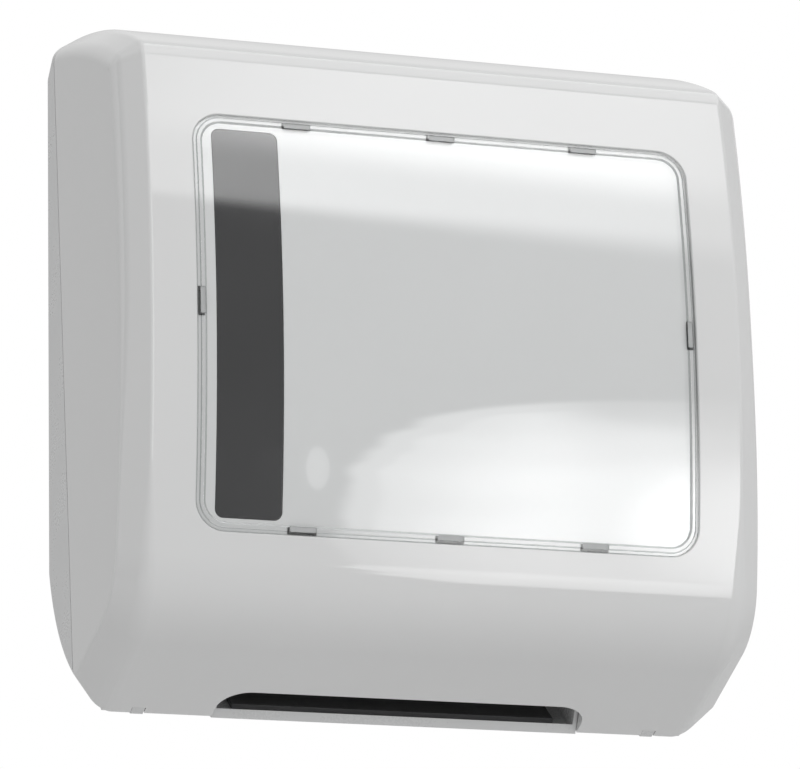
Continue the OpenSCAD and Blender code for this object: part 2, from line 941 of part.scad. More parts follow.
module cam_screw() {
    color([0.7, 0.71, 0.73])
    at_lock()
    difference() {
        union() {
            translate([0, 0, cam_z - cam_head_t])
                cylinder(r = cam_head_r, h = cam_head_t);
            translate([0, 0, cam_z - eps])
                cylinder(r = cam_screw_r, h = cam_screw_l);
        }
        for (a = [0, 90])
            rotate([0, 0, a])
                translate([-cam_head_r * slot_part / 2, -slot_w / 2, cam_z - cam_head_t - eps])
                    cube([cam_head_r * slot_part, slot_w, slot_deep]);
    }
}

rear_chassis();
towel_tray();
tray_screws();
side_guide_left();
side_guide_right();
guide_screws();
lock_keeper();
keeper_screws();
hinge_pin_left();
hinge_pin_right();
front_cover();
level_window();
clear_panel();
lock_housing();
lock_washer();
lock_nut();
lock_plug();
stop_washer();
lock_cam();
cam_screw();
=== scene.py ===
# %% [markdown]
# # A wall dispenser for folded paper towels
# The solids of the dispenser come in as a fixed frame, in metres, with X to the right, Y into
# the wall and Z up. This lesson dresses them: the large mouldings are modelled again as smooth
# skins, because a glossy face shows every flat spot, and every piece gets a finish from nodes.

# %% Load the frame
import json
import math

import bmesh
import bpy
from mathutils import Matrix, Vector


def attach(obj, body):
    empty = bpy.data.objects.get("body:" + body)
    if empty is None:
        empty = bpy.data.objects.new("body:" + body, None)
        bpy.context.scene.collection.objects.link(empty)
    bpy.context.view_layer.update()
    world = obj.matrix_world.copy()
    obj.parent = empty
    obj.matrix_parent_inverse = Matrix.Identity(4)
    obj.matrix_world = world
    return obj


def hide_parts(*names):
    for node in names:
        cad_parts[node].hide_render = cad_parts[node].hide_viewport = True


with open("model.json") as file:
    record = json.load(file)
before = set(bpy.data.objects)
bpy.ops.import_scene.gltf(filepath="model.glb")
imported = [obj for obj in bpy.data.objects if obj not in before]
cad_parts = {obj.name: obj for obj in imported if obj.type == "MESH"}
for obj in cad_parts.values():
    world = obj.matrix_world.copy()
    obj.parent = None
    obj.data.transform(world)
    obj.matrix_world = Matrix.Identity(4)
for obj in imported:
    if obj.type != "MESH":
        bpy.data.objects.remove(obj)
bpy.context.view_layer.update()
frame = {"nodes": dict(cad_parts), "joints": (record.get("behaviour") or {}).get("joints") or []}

MM = 0.001
scene = bpy.context.scene
scene.view_settings.view_transform = "Standard"

# %% [markdown]
# ## Camera
# The dispenser was photographed from below and from its left, through a long lens. A long lens
# far away keeps the edges almost parallel, so the distance matters less than the three angles.

# %% Camera at the photograph's angle
PICTURE_W, LENS_PX, DISTANCE, SHIFT_X, SHIFT_Z = 800, 4766, 2325, 15.7, 15.4
SENSOR_W = 36.0
turn, rise, roll = (math.radians(a) for a in (18.39, -16.08, -1.39))
look = Vector((math.sin(turn) * math.cos(rise), math.cos(turn) * math.cos(rise), -math.sin(rise)))
level = Vector((math.cos(turn), -math.sin(turn), 0))
upright = level.cross(look)
across = level * math.cos(roll) + upright * math.sin(roll)
upward = upright * math.cos(roll) - level * math.sin(roll)

lens = bpy.data.cameras.new("camera")
lens.sensor_fit = "HORIZONTAL"
lens.sensor_width = SENSOR_W
lens.lens = SENSOR_W * LENS_PX / PICTURE_W
lens.clip_end = 50
camera = bpy.data.objects.new("camera", lens)
camera.matrix_world = Matrix((across, upward, -look)).transposed().to_4x4()
camera.location = (across * SHIFT_X + upward * SHIFT_Z - look * DISTANCE) * MM
scene.collection.objects.link(camera)
scene.camera = camera
print("camera at", [round(c, 3) for c in camera.location], "lens", round(lens.lens, 1), "mm")

# %% [markdown]
# ## The side outline
# Seen from the side, the body is a chain of arcs that meet without a corner: top, brow, front
# and chin, then a straight underside and a rounded heel at the wall. A heading says which way
# the outside faces. Moving the outline inwards only shortens the radii, so the bevel along the
# sides and the inside of the shell come from the same few numbers. The heel is rounder at the
# sides, and the brow of the front carries a fine crease, a very small arc between larger ones.

# %% Radii and centres of the outline, in millimetres as depth and height
BODY_W, SIDE_LEAN, BEVEL_W, BEVEL_DROP = 320, 4, 12.3, 10
CROWN_Z, CROWN_CUT, WALL = 183, 7, 3
BROW_R, CHIN_R, HEEL_R, FOOT_D = 16, 47, 70, 31.5
H_REAR, H_BROW, H_FRONT, H_CHIN, H_BELLY = (math.radians(a) for a in (11, 29, 79, 100.5, 160))
CREASE_R, CREASE_FROM, CREASE_TO = 1.2, math.radians(46), math.radians(61)
TOP_RUN, FRONT_RUN = 109, 237
TOP_R = TOP_RUN / (math.sin(H_BROW) - math.sin(H_REAR))
FRONT_R = FRONT_RUN / (math.cos(H_FRONT) - math.cos(H_CHIN))


def on_arc(centre, radius, heading):
    return Vector((centre[0] + radius * math.sin(heading), centre[1] + radius * math.cos(heading)))


C_TOP = on_arc((0, CROWN_Z), -TOP_R, H_REAR)
C_BROW = on_arc(on_arc(C_TOP, TOP_R, H_BROW), -BROW_R, H_BROW)
C_FRONT = on_arc(on_arc(C_BROW, BROW_R, H_FRONT), -FRONT_R, H_FRONT)
C_CHIN = on_arc(on_arc(C_FRONT, FRONT_R, H_CHIN), -CHIN_R, H_CHIN)
P_BELLY = on_arc(C_CHIN, CHIN_R, H_BELLY)
FOOT_Z = P_BELLY[1] - (P_BELLY[0] - FOOT_D) * math.tan(math.pi - H_BELLY)
HEEL_OUT = HEEL_R + BEVEL_DROP
C_HEEL = Vector((HEEL_R, FOOT_Z + math.sqrt(HEEL_OUT ** 2 - (FOOT_D - HEEL_R) ** 2)))
HEEL_SIDE_R, HEEL_SIDE_TILT = 97.5, math.radians(16)
C_HEEL_SIDE = on_arc((0, C_HEEL[1]), HEEL_SIDE_R, math.pi / 2 - HEEL_SIDE_TILT)
print("front radius", round(FRONT_R, 1), "mm, lowest edge at height", round(FOOT_Z, 1), "mm")


# %% The outline as points
def arc_points(centre, radius, start, stop, steps):
    return [on_arc(centre, radius, start + (stop - start) * i / steps) for i in range(steps + 1)]


def creased_brow():
    """The brow as two wide arcs with a small one between them, from the top to the front."""
    def chord(a, b):
        return Vector((math.sin(b) - math.sin(a), math.cos(b) - math.cos(a)))

    upper, middle = chord(H_BROW, CREASE_FROM), chord(CREASE_FROM, CREASE_TO)
    lower = chord(CREASE_TO, H_FRONT)
    rest = chord(H_BROW, H_FRONT) * BROW_R - middle * CREASE_R
    across_both = upper.x * lower.y - upper.y * lower.x
    upper_r = (rest.x * lower.y - rest.y * lower.x) / across_both
    lower_r = (upper.x * rest.y - upper.y * rest.x) / across_both
    arcs = ((upper_r, H_BROW, CREASE_FROM, 10), (CREASE_R, CREASE_FROM, CREASE_TO, 6),
            (lower_r, CREASE_TO, H_FRONT, 14))
    points, at = [], on_arc(C_TOP, TOP_R, H_BROW)
    for radius, a, b, steps in arcs:
        points += arc_points(on_arc(at, -radius, a), radius, a, b, steps)[1:]
        at = points[-1]
    return points


def side_outline(inset, at_side=False, crease=False):
    """The closed outline, moved inwards."""
    crown = math.asin((CROWN_CUT - C_TOP[0]) / (TOP_R - inset))
    crown_z = C_TOP[1] + (TOP_R - inset) * math.cos(crown)
    low = on_arc(C_CHIN, CHIN_R - inset, H_BELLY)
    way = Vector((math.cos(H_BELLY), -math.sin(H_BELLY)))
    heel_c, heel_r = C_HEEL, HEEL_OUT - inset
    if at_side:
        heel_c, heel_r = C_HEEL_SIDE, HEEL_SIDE_R + BEVEL_DROP - inset
    gap = low - heel_c
    run = math.sqrt(gap.dot(way) ** 2 - gap.dot(gap) + heel_r ** 2) - gap.dot(way)
    heel = low + way * run - heel_c
    heel_from = math.pi + math.atan2(-heel[0], -heel[1])
    heel_to = math.pi + math.asin(min(1, heel_c[0] / heel_r))
    heel_arc = arc_points(heel_c, heel_r, heel_from, heel_to, 36)
    heel_arc[-1][0] = 0
    brow = creased_brow() if crease else arc_points(C_BROW, BROW_R - inset, H_BROW, H_FRONT, 30)[1:]
    return ([Vector((0, crown_z - CROWN_CUT))]
            + arc_points(C_TOP, TOP_R - inset, crown, H_BROW, 24) + brow
            + arc_points(C_FRONT, FRONT_R - inset, H_FRONT, H_CHIN, 72)[1:]
            + arc_points(C_CHIN, CHIN_R - inset, H_CHIN, H_BELLY, 40)[1:]
            + heel_arc)


print("outline of", len(side_outline(0)), "points")

# %% [markdown]
# ## Edges that change along the body
# The two edges of the bevel are rounded by arcs in the cross profile. High up, the edge at the
# front is crisp and the one at the side is soft; low down it is the other way round. A bevel tool
# has one width for all its edges, so the radii are worked out for each height instead.

# %% Cross profile with changing radii
FRONT_EDGE_R, SIDE_EDGE_R, BROW_EDGE_R = (3.5, 14), (11.5, 2), (3.5, 10)
FRONT_EDGE_FADE, SIDE_EDGE_FADE, BROW_EDGE_FADE = (-60, -118), (30, -90), (140, 168)


def fade(radii, heights, z):
    """A radius that goes smoothly from its upper to its lower value between two heights."""
    share = min(max((z - heights[0]) / (heights[1] - heights[0]), 0), 1)
    return radii[0] + (radii[1] - radii[0]) * share * share * (3 - 2 * share)


def rounded_profile(corners, radii, steps=8):
    """A cross profile whose inner corners are arcs of the given radii."""
    points = [Vector(corners[0])]
    for before, at, after, radius in zip(corners, corners[1:], corners[2:], radii):
        before, at, after = Vector(before), Vector(at), Vector(after)
        to_a, to_b = (before - at).normalized(), (after - at).normalized()
        half = to_a.angle(to_b) / 2
        centre = at + (to_a + to_b).normalized() * radius / math.sin(half)
        start, stop = at + to_a * radius / math.tan(half), at + to_b * radius / math.tan(half)
        swing = (start - centre).angle_signed(stop - centre)
        for i in range(steps + 1):
            points.append(centre + (Matrix.Rotation(-swing * i / steps, 2) @ (start - centre)))
    return points


print("edges of the bevel, upper and lower radius:", FRONT_EDGE_R, SIDE_EDGE_R, "mm")

# %% [markdown]
# ## From outline to body
# The body is the outline drawn out sideways, ring by ring: flat across the front, then down the
# bevel and onto the side. Extruding one ring of edges at a time keeps the faces in long even
# strips, which glossy plastic needs for a clean reflection.

# %% Rings into a body
LEAN_RUN, MITRE, FLAT_EDGE, SIDE_EDGE, LEAST_R = 108, 0.414, 12, 9, 0.5


def new_piece(name, bm):
    bmesh.ops.recalc_face_normals(bm, faces=bm.faces)
    mesh = bpy.data.meshes.new(name)
    bm.to_mesh(mesh)
    bm.free()
    piece = bpy.data.objects.new(name, mesh)
    scene.collection.objects.link(piece)
    return piece


def to_metres(bm):
    bmesh.ops.scale(bm, vec=(MM, MM, MM), verts=bm.verts)
    return bm


def body_solid(name, inset):
    """The whole body, with its outside moved inwards."""
    side = BODY_W / 2 - SIDE_LEAN - inset
    front = BODY_W / 2 - SIDE_LEAN - BEVEL_W - MITRE * inset
    drop = BEVEL_DROP + MITRE * inset
    down_side = drop - inset
    corners = [(front - FLAT_EDGE, 0), (front, 0), (side, down_side), (side, down_side + SIDE_EDGE)]
    near, far = side_outline(inset, crease=inset == 0), side_outline(drop, at_side=True)
    strips = []
    for at, edge in zip(near, far):
        front_r = fade(FRONT_EDGE_R, FRONT_EDGE_FADE, at[1])
        brow_r = fade(BROW_EDGE_R, BROW_EDGE_FADE, at[1])
        side_r = fade(SIDE_EDGE_R, SIDE_EDGE_FADE, at[1])
        radii = [max(r - inset, LEAST_R) for r in (max(front_r, brow_r), side_r)]
        strip = []
        for x, down in rounded_profile(corners, radii):
            d, z = at + (edge - at) * down / down_side
            share = min(max((x - front) / (side - front), 0), 1)
            strip.append((x + share * SIDE_LEAN * (1 - d / LEAN_RUN), -d, z))
        strips.append(strip)
    half = list(zip(*strips))
    bm = bmesh.new()
    ring = None
    for hand, row in [(-1, r) for r in reversed(half)] + [(1, r) for r in half]:
        places = [(hand * x, y, z) for x, y, z in row]
        if ring is None:
            verts = [bm.verts.new(p) for p in places]
            ring = [bm.edges.new((a, b)) for a, b in zip(verts, verts[1:] + verts[:1])]
            bmesh.ops.contextual_create(bm, geom=ring)
            continue
        made = bmesh.ops.extrude_edge_only(bm, edges=ring)["geom"]
        fresh = {v for v in made if isinstance(v, bmesh.types.BMVert)}
        follow = {e.other_vert(v): v for v in fresh for e in v.link_edges
                  if e.other_vert(v) not in fresh}
        verts = [follow[v] for v in verts]
        for v, p in zip(verts, places):
            v.co = p
        ring = [bm.edges.get((a, b)) for a, b in zip(verts, verts[1:] + verts[:1])]
    bmesh.ops.contextual_create(bm, geom=ring)
    return new_piece(name, to_metres(bm))


print("body", BODY_W, "mm wide, bevel", BEVEL_W, "mm wide and", BEVEL_DROP, "mm deep")

# %% [markdown]
# ## Cutting and joining
# A moulding is a few plain solids joined and cut. The manifold solver is quick on closed meshes,
# so each step is applied at once and the tool is thrown away. At the end the faces are shaded
# smooth, with creases only where the real edges are.

# %% Join, cut and shade
MERGE, SMOOTH_BELOW = 0.002, math.radians(26)


def combine(piece, how, *tools):
    """Cuts, joins or intersects a piece with tools, which are used up."""
    for tool in tools:
        step = piece.modifiers.new("combine", "BOOLEAN")
        step.operation, step.solver, step.object = how, "MANIFOLD", tool
        shown = piece.evaluated_get(bpy.context.evaluated_depsgraph_get())
        mesh = bpy.data.meshes.new_from_object(shown)
        piece.modifiers.clear()
        old, piece.data = piece.data, mesh
        bpy.data.meshes.remove(old)
        bpy.data.meshes.remove(tool.data)
    piece.data.name = piece.name
    return piece


def finish_shading(piece):
    """Smooth faces with creases at the real edges."""
    bm = bmesh.new()
    bm.from_mesh(piece.data)
    bmesh.ops.remove_doubles(bm, verts=bm.verts, dist=MERGE * MM)
    for face in bm.faces:
        face.smooth = True
    for edge in bm.edges:
        edge.smooth = len(edge.link_faces) == 2 and edge.calc_face_angle(0) < SMOOTH_BELOW
    bm.to_mesh(piece.data)
    bm.free()
    weights = piece.modifiers.new("even shading", "WEIGHTED_NORMAL")
    weights.keep_sharp = True
    print(piece.name, len(piece.data.polygons), "faces")
    return piece


# %% [markdown]
# ## Plain solids
# The cutters, ribs and bosses are prisms, blocks and round bars. Mesh operators make each in a
# line or two, and places are given in millimetres as x, depth and height, as on a drawing.

# %% Prism, block and rod
def draw_out(bm, face, way):
    """Extrudes a face along a way and returns the moved face."""
    made = bmesh.ops.extrude_face_region(bm, geom=[face])["geom"]
    bmesh.ops.translate(bm, vec=way, verts=[v for v in made if isinstance(v, bmesh.types.BMVert)])
    return [f for f in made if isinstance(f, bmesh.types.BMFace)][0]


def side_prism(name, points, x0, x1):
    """A polygon in depth and height, drawn out across the body."""
    bm = bmesh.new()
    face = bm.faces.new([bm.verts.new((x0, -d, z)) for d, z in points])
    draw_out(bm, face, (x1 - x0, 0, 0))
    return new_piece(name, to_metres(bm))


def block(name, low, high):
    """A block between two corners given as x, depth and height."""
    low, high = (Vector((x, -d, z)) * MM for x, d, z in (low, high))
    bm = bmesh.new()
    bmesh.ops.create_cube(bm, size=1, matrix=Matrix.Translation((low + high) / 2)
                          @ Matrix.Diagonal([abs(c) for c in high - low]).to_4x4())
    return new_piece(name, bm)


def rod(name, radius, start, end, steps=64):
    """A round bar between two places given as x, depth and height."""
    start, end = (Vector((x, -d, z)) * MM for x, d, z in (start, end))
    turned = (end - start).to_track_quat("Z", "Y").to_matrix().to_4x4()
    bm = bmesh.new()
    bmesh.ops.create_cone(bm, cap_ends=True, segments=steps,
                          radius1=radius * MM, radius2=radius * MM, depth=(end - start).length,
                          matrix=Matrix.Translation((start + end) / 2) @ turned)
    return new_piece(name, bm)


# %% [markdown]
# ## Flat work that is bent
# The clear panel, its seat and the level window follow the bulge of the front. A real sheet is
# cut flat and then bent, and the same order works here: a rounded plate is modelled flat, cut
# into narrow strips, and moved out to the radius of the front.

# %% Plates and steps in them
def rounded_plate(bm, width, height, corner, x=0, z=0, y=0):
    """One flat face that looks out of the wall, with round corners."""
    place = Matrix.Translation((x, y, z)) @ Matrix.Rotation(math.pi / 2, 4, "X")
    made = bmesh.ops.create_grid(bm, x_segments=1, y_segments=1, size=0.5,
                                 matrix=place @ Matrix.Diagonal((width, height, 1, 1)))
    made = bmesh.ops.bevel(bm, geom=made["verts"], offset=corner, segments=12, profile=0.5,
                           affect="VERTICES", material=-1)
    return made["faces"][0] if made["faces"] else bm.faces[:][-1]


def sink(bm, face, deep, narrow=0):
    """Pushes a face inwards by one step, narrower by some margin."""
    if narrow:
        bmesh.ops.inset_region(bm, faces=[face], thickness=narrow, depth=-deep,
                               use_even_offset=True)
        return face
    alone = all(e.is_boundary for e in face.edges)
    moved = draw_out(bm, face, -face.normal * deep)
    if not alone:
        bmesh.ops.delete(bm, geom=[face], context="FACES_ONLY")
    return moved


# %% The bend, and straight cutters
STRIP_H, ON_CUT, CUT_FROM, CUT_DEEP = 2.5, 0.0005, -140, 80


def bend_out(bm):
    """Cuts flat work into strips and bends it to the front; y 0 is the outside."""
    heights = [v.co.z for v in bm.verts]
    z = math.floor(min(heights) / STRIP_H) * STRIP_H
    while z < max(heights):
        bmesh.ops.bisect_plane(bm, geom=bm.verts[:] + bm.edges[:] + bm.faces[:], dist=ON_CUT,
                               plane_co=(0, 0, z), plane_no=(0, 0, 1))
        z += STRIP_H
    for v in bm.verts:
        reach = FRONT_R - v.co.y
        v.co.y = -(C_FRONT[0] + math.sqrt(reach ** 2 - (v.co.z - C_FRONT[1]) ** 2))
    return to_metres(bm)


def bent_plate(name, width, height, corner, y0, y1, x=0, z=0):
    bm = bmesh.new()
    sink(bm, rounded_plate(bm, width, height, corner, x=x, z=z, y=y0), y1 - y0)
    return new_piece(name, bend_out(bm))


def straight_cut(name, width, height, corner, x, z):
    """A round-cornered cutter that goes straight in through the front."""
    bm = bmesh.new()
    sink(bm, rounded_plate(bm, width, height, corner, x=x, z=z, y=CUT_FROM), CUT_DEEP)
    return new_piece(name, to_metres(bm))


PANEL_W, PANEL_TOP, PANEL_LOW, PANEL_CORNER = 244, 104.886, -94.0137, 14
PANEL_H, PANEL_Z = PANEL_TOP - PANEL_LOW, (PANEL_TOP + PANEL_LOW) / 2
print("panel", PANEL_W, "x", round(PANEL_H, 1), "mm, middle at height", round(PANEL_Z, 1))

# %% [markdown]
# ## Front cover
# The cover is one moulding. The outside is cut along the split against the chassis and that edge
# is rounded a little, and the inside is taken out. A solidify modifier could make the wall too,
# but here the inside is the same body with its outline moved inwards, so the wall is even.

# %% Shell of the cover
SPLIT_TOP, SPLIT_LOW, SPLIT_RISE, SPLIT_BACK, SPLIT_GAP = 9, 39, 13, 1, 0.8
HINGE = [j for j in frame["joints"] if j["name"] == "cover_hinge"][0]["pos_m"]
AXIS_D, AXIS_Z = -HINGE[1] / MM, HINGE[2] / MM
WIDE, FAR = 200, 300
SPLIT_R, FACING, NO_SLANT = 0.5, 0.8, 0.001


def ahead_of_split(gap):
    """All that lies in front of the split, moved forward by a gap."""
    above, below = CROWN_Z + WALL, FOOT_Z - WALL
    points = [(SPLIT_TOP + gap, above), (SPLIT_LOW + gap, FOOT_Z + SPLIT_RISE),
              (FOOT_D - SPLIT_BACK + gap, below), (FAR, below), (FAR, above)]
    return side_prism("ahead", points, -WIDE, WIDE)


def round_edges(bm, edges, width, steps):
    bmesh.ops.bevel(bm, geom=edges, offset=width * MM, segments=steps, profile=0.5, affect="EDGES",
                    material=-1, clamp_overlap=True)


def soften_split(piece, way):
    """Rounds the edge that runs around a split face; the split looks along way in Y."""
    bm = bmesh.new()
    bm.from_mesh(piece.data)
    bm.normal_update()
    split = {f for f in bm.faces if f.normal.y * way > FACING and abs(f.normal.x) < NO_SLANT}
    edges = [e for e in bm.edges if len(split.intersection(e.link_faces)) == 1]
    round_edges(bm, edges, SPLIT_R, 3)
    bm.to_mesh(piece.data)
    bm.free()
    print(piece.name, "split edge:", len(edges), "edges rounded")


cover = combine(body_solid("cover_shell", 0), "INTERSECT", ahead_of_split(SPLIT_GAP / 2))
soften_split(cover, 1)
combine(cover, "DIFFERENCE", body_solid("inside", WALL))
print("shell", len(cover.data.polygons), "faces")

# %% [markdown]
# ## Seat of the panel
# The panel lies in a shallow seat with a wall behind it, a window cut out of it and eight slots
# for the snap hooks. The cutter of the seat has a small flare where it leaves the outside, so that
# the cut edge comes out rounded, as a moulded edge is, and needs no bevel afterwards.

# %% Seat, window cut and clip slots
SEAT, SEAT_T, UNDER_SKIN, SEAT_ABOVE = 2.4, 2.6, 1, 4
SEAT_BACK = SEAT + SEAT_T
WINDOW_W, WINDOW_X, WINDOW_H, WINDOW_CORNER = 32, -96.5, PANEL_H - 13, 4
CLIP_L, CLIP_H, CLIP_CORNER, CLIP_IN, CLIP_PITCH, CLIP_LIFT = 14, 3.4, 0.5, 2.3, 71, 7
CLIPS = [(x * CLIP_PITCH, PANEL_Z + s * (PANEL_H / 2 - CLIP_IN), (0, s))
         for x in (-1, 0, 1) for s in (-1, 1)]
CLIPS += [(s * (PANEL_W / 2 - CLIP_IN), PANEL_Z + CLIP_LIFT, (s, 0)) for s in (-1, 1)]
FLARE, FLARE_FROM = ((0.3, 0.5), (0.4, 0.3), (0.4, 0.1)), 0.2


def flared(bm, width, height, corner, above, deep, z, size=1.0):
    """A cutter that opens out where it passes the outside."""
    grow = size * sum(narrow for step_in, narrow in FLARE)
    face = rounded_plate(bm, width + 2 * grow, height + 2 * grow, corner + grow, y=-above, z=z)
    face = sink(bm, face, above - FLARE_FROM)
    for step_in, narrow in FLARE:
        face = sink(bm, face, size * step_in, size * narrow)
    sink(bm, face, deep - size * sum(step_in for step_in, narrow in FLARE) + FLARE_FROM)


combine(cover, "UNION", bent_plate("seat_back", PANEL_W + 2 * SEAT_T, PANEL_H + 2 * SEAT_T,
                                   PANEL_CORNER + SEAT_T, UNDER_SKIN, SEAT_BACK, z=PANEL_Z))
bm = bmesh.new()
flared(bm, PANEL_W, PANEL_H, PANEL_CORNER, SEAT_ABOVE, SEAT, PANEL_Z)
combine(cover, "DIFFERENCE", new_piece("pocket", bend_out(bm)),
        straight_cut("window_cut", WINDOW_W, WINDOW_H, WINDOW_CORNER, WINDOW_X, PANEL_Z))
for x, z, (out_x, out_z) in CLIPS:
    wide, high = (CLIP_L, CLIP_H) if out_z else (CLIP_H, CLIP_L)
    combine(cover, "DIFFERENCE", straight_cut("clip_slot", wide, high, CLIP_CORNER, x, z))
print("seat with", len(CLIPS), "clip slots", len(cover.data.polygons), "faces")

# %% [markdown]
# ## Mouth
# The towels are pulled out through a wide mouth in the sloping underside, and a wall around it
# stiffens the edge. Wall and cutter are plates again, modelled upright like the seat and then
# turned onto the slope, so the same helpers serve.

# %% Mouth in the underside
MOUTH_W, MOUTH_RUN, MOUTH_CORNER, MOUTH_WALL, MOUTH_DEEP = 181, 23, 15, 2.2, 12
MOUTH_ABOVE, MOUTH_CUT, MOUTH_FLARE = 6, 20, 0.4
BELLY_FRAME = (Matrix.Translation((0, -FOOT_D * MM, FOOT_Z * MM))
               @ Matrix.Rotation(H_BELLY - math.pi / 2, 4, "X"))


def on_belly(name, bm):
    """Turns a plate from the wall's frame onto the sloping underside."""
    bmesh.ops.transform(to_metres(bm), matrix=BELLY_FRAME, verts=bm.verts)
    return new_piece(name, bm)


bm = bmesh.new()
corner = MOUTH_CORNER + MOUTH_WALL
sink(bm, rounded_plate(bm, MOUTH_W + 2 * MOUTH_WALL, 4 * corner, corner, y=UNDER_SKIN,
                       z=MOUTH_RUN + MOUTH_WALL - 2 * corner), MOUTH_DEEP - UNDER_SKIN)
mouth_wall = combine(on_belly("mouth_wall", bm), "INTERSECT", ahead_of_split(SPLIT_GAP / 2))
bm = bmesh.new()
flared(bm, MOUTH_W, 4 * MOUTH_CORNER, MOUTH_CORNER, MOUTH_ABOVE, MOUTH_CUT,
       MOUTH_RUN - 2 * MOUTH_CORNER, size=MOUTH_FLARE)
combine(combine(cover, "UNION", mouth_wall), "DIFFERENCE", on_belly("mouth", bm))
print("mouth cut", len(cover.data.polygons), "faces")

# %% [markdown]
# ## Lock seat
# The head of the lock lies sunk in the top, in a round recess with a boss below it for strength.
# The boss is cut off within the wall, so nothing of it shows outside.

# %% Lock seat in the top
LOCK_D, LOCK_HEAD_R, LOCK_HEAD_GAP, LOCK_BODY_R, LOCK_PLAY = 26, 10, 0.6, 8, 0.15
LOCK_SEAT_T, LOCK_BOSS_W, LOCK_SINK, LOCK_OVER = 4.5, 4, 1, CROWN_Z + 20
LOCK_HOLE_DOWN, LOCK_HOLE_UP = 9, 4
RECESS_R = LOCK_HEAD_R + LOCK_HEAD_GAP
LOCK_SEAT_Z = C_TOP[1] + math.sqrt(TOP_R ** 2 - (LOCK_D + RECESS_R - C_TOP[0]) ** 2) - LOCK_SINK


def at_lock(z):
    return (0, LOCK_D, z)


boss = rod("lock_boss", LOCK_HEAD_R + LOCK_BOSS_W, at_lock(LOCK_SEAT_Z - LOCK_SEAT_T), at_lock(LOCK_OVER))
combine(cover, "UNION", combine(boss, "INTERSECT", body_solid("skin", WALL / 2)))
combine(cover, "DIFFERENCE", rod("lock_recess", RECESS_R, at_lock(LOCK_SEAT_Z), at_lock(LOCK_OVER)),
        rod("lock_hole", LOCK_BODY_R + LOCK_PLAY, at_lock(LOCK_SEAT_Z - LOCK_HOLE_DOWN),
            at_lock(LOCK_SEAT_Z + LOCK_HOLE_UP)))
print("lock seat at height", round(LOCK_SEAT_Z, 1), "mm")

# %% [markdown]
# ## Hinge barrels
# The cover turns on two pins near its lowest edge. Each pin runs in a barrel on the cover, and a
# pocket beside it leaves room for the ear of the chassis that holds the pin. The room is cut
# last, so that no web fills it again.

# %% Hinge barrels and room for the ears
BARREL_R, BARREL_X0, BARREL_X1, EAR_R, EAR_X0, EAR_X1 = 3.5, 130.1, 143.1, 4.6, 123.5, 129.5
PIN_R, PIN_PLAY, BORE_END, POCKET_RUN, POCKET_HALF = 2, 0.05, BARREL_X1 - 0.2, 14, 8
EAR_GAP, EAR_SIDE_GAP = 0.4, 0.3
BARREL_WEB = [(1, -1), (-2, 3), (-16, 6), (-18, 3)]


def at_hinge(x):
    return (x, AXIS_D, AXIS_Z)


def hinge_web(name, steps, x0, x1):
    """A web given as steps back and up from the hinge axis."""
    return side_prism(name, [(AXIS_D - back, AXIS_Z + up) for back, up in steps], x0, x1)


for hand in (-1, 1):
    near, far = hand * BARREL_X0, hand * BARREL_X1
    combine(cover, "UNION", rod("barrel", BARREL_R, at_hinge(near), at_hinge(far)),
            hinge_web("barrel_web", BARREL_WEB, near, far))
for hand in (-1, 1):
    near, far = hand * (EAR_X0 - EAR_SIDE_GAP), hand * (EAR_X1 + EAR_SIDE_GAP)
    combine(cover, "DIFFERENCE",
            rod("pin_bore", PIN_R + PIN_PLAY, at_hinge(hand * EAR_X1), at_hinge(hand * BORE_END)),
            rod("ear_room", EAR_R + EAR_GAP, at_hinge(near), at_hinge(far)),
            block("ear_pocket", (near, AXIS_D - POCKET_RUN, AXIS_Z - POCKET_HALF),
                  (far, AXIS_D, AXIS_Z + POCKET_HALF)))
finish_shading(cover)

# %% [markdown]
# ## Rear chassis
# The chassis stays on the wall. Its outside runs on from the cover across the split, so it comes
# from the same body. Behind the mouth the bottom wall stays as a sill, and beside it room is cut
# for the edge of the cover as it swings.

# %% Shell of the chassis
BACK_T, SWEEP_R, SILL_X = 3, 6, MOUTH_W / 2 - 0.1

chassis = combine(body_solid("chassis_shell", 0), "DIFFERENCE", ahead_of_split(-SPLIT_GAP / 2))
soften_split(chassis, -1)
room = combine(body_solid("room", WALL), "INTERSECT",
               block("ahead_of_back", (-WIDE, BACK_T, -FAR), (WIDE, FAR, FAR)))
combine(chassis, "DIFFERENCE", room, rod("sweep", SWEEP_R, at_hinge(-WIDE), at_hinge(-SILL_X)),
        rod("sweep", SWEEP_R, at_hinge(SILL_X), at_hinge(WIDE)))
print("chassis shell", len(chassis.data.polygons), "faces")

# %% [markdown]
# ## Ribs, bosses and cheeks
# Ribs stiffen the back plate, bosses stand around the wall screws, pillars take the small screws,
# and a cheek closes each end of the sill. They are joined to each other first and then to the
# shell in one step, with their ends staggered so that no two faces lie in one plane.

# %% Fittings on the back plate
BOSS_R, BOSS_D, WALL_BOSS_R, WALL_BOSS_D, RIB_T, RIB_X = 4.5, 9, 9, 6, 2, (-60, 0, 60)
SCREW_X, SCREW_Z, ROOT, STAGGER = 100, 90, 1, 0.1
SHELF_Z = FOOT_Z + 30
TRAY_PITCH, TRAY_UP, GUIDE_X, GUIDE_Z, KEEPER_X, KEEPER_DOWN = 42, 11, 127, (-60, 40), (14, 24), 43
CHEEK_T, CHEEK_TOP = 2, SHELF_Z - 2.8
WALL_SCREWS = [(x, z) for x in (-SCREW_X, SCREW_X) for z in (-SCREW_Z, SCREW_Z)]
SMALL_SCREWS = [(x * TRAY_PITCH, SHELF_Z + TRAY_UP) for x in (-2, -1, 1, 2)]
SMALL_SCREWS += [(s * GUIDE_X, z) for s in (-1, 1) for z in GUIDE_Z]
SMALL_SCREWS += [(x, LOCK_SEAT_Z - KEEPER_DOWN) for x in KEEPER_X]

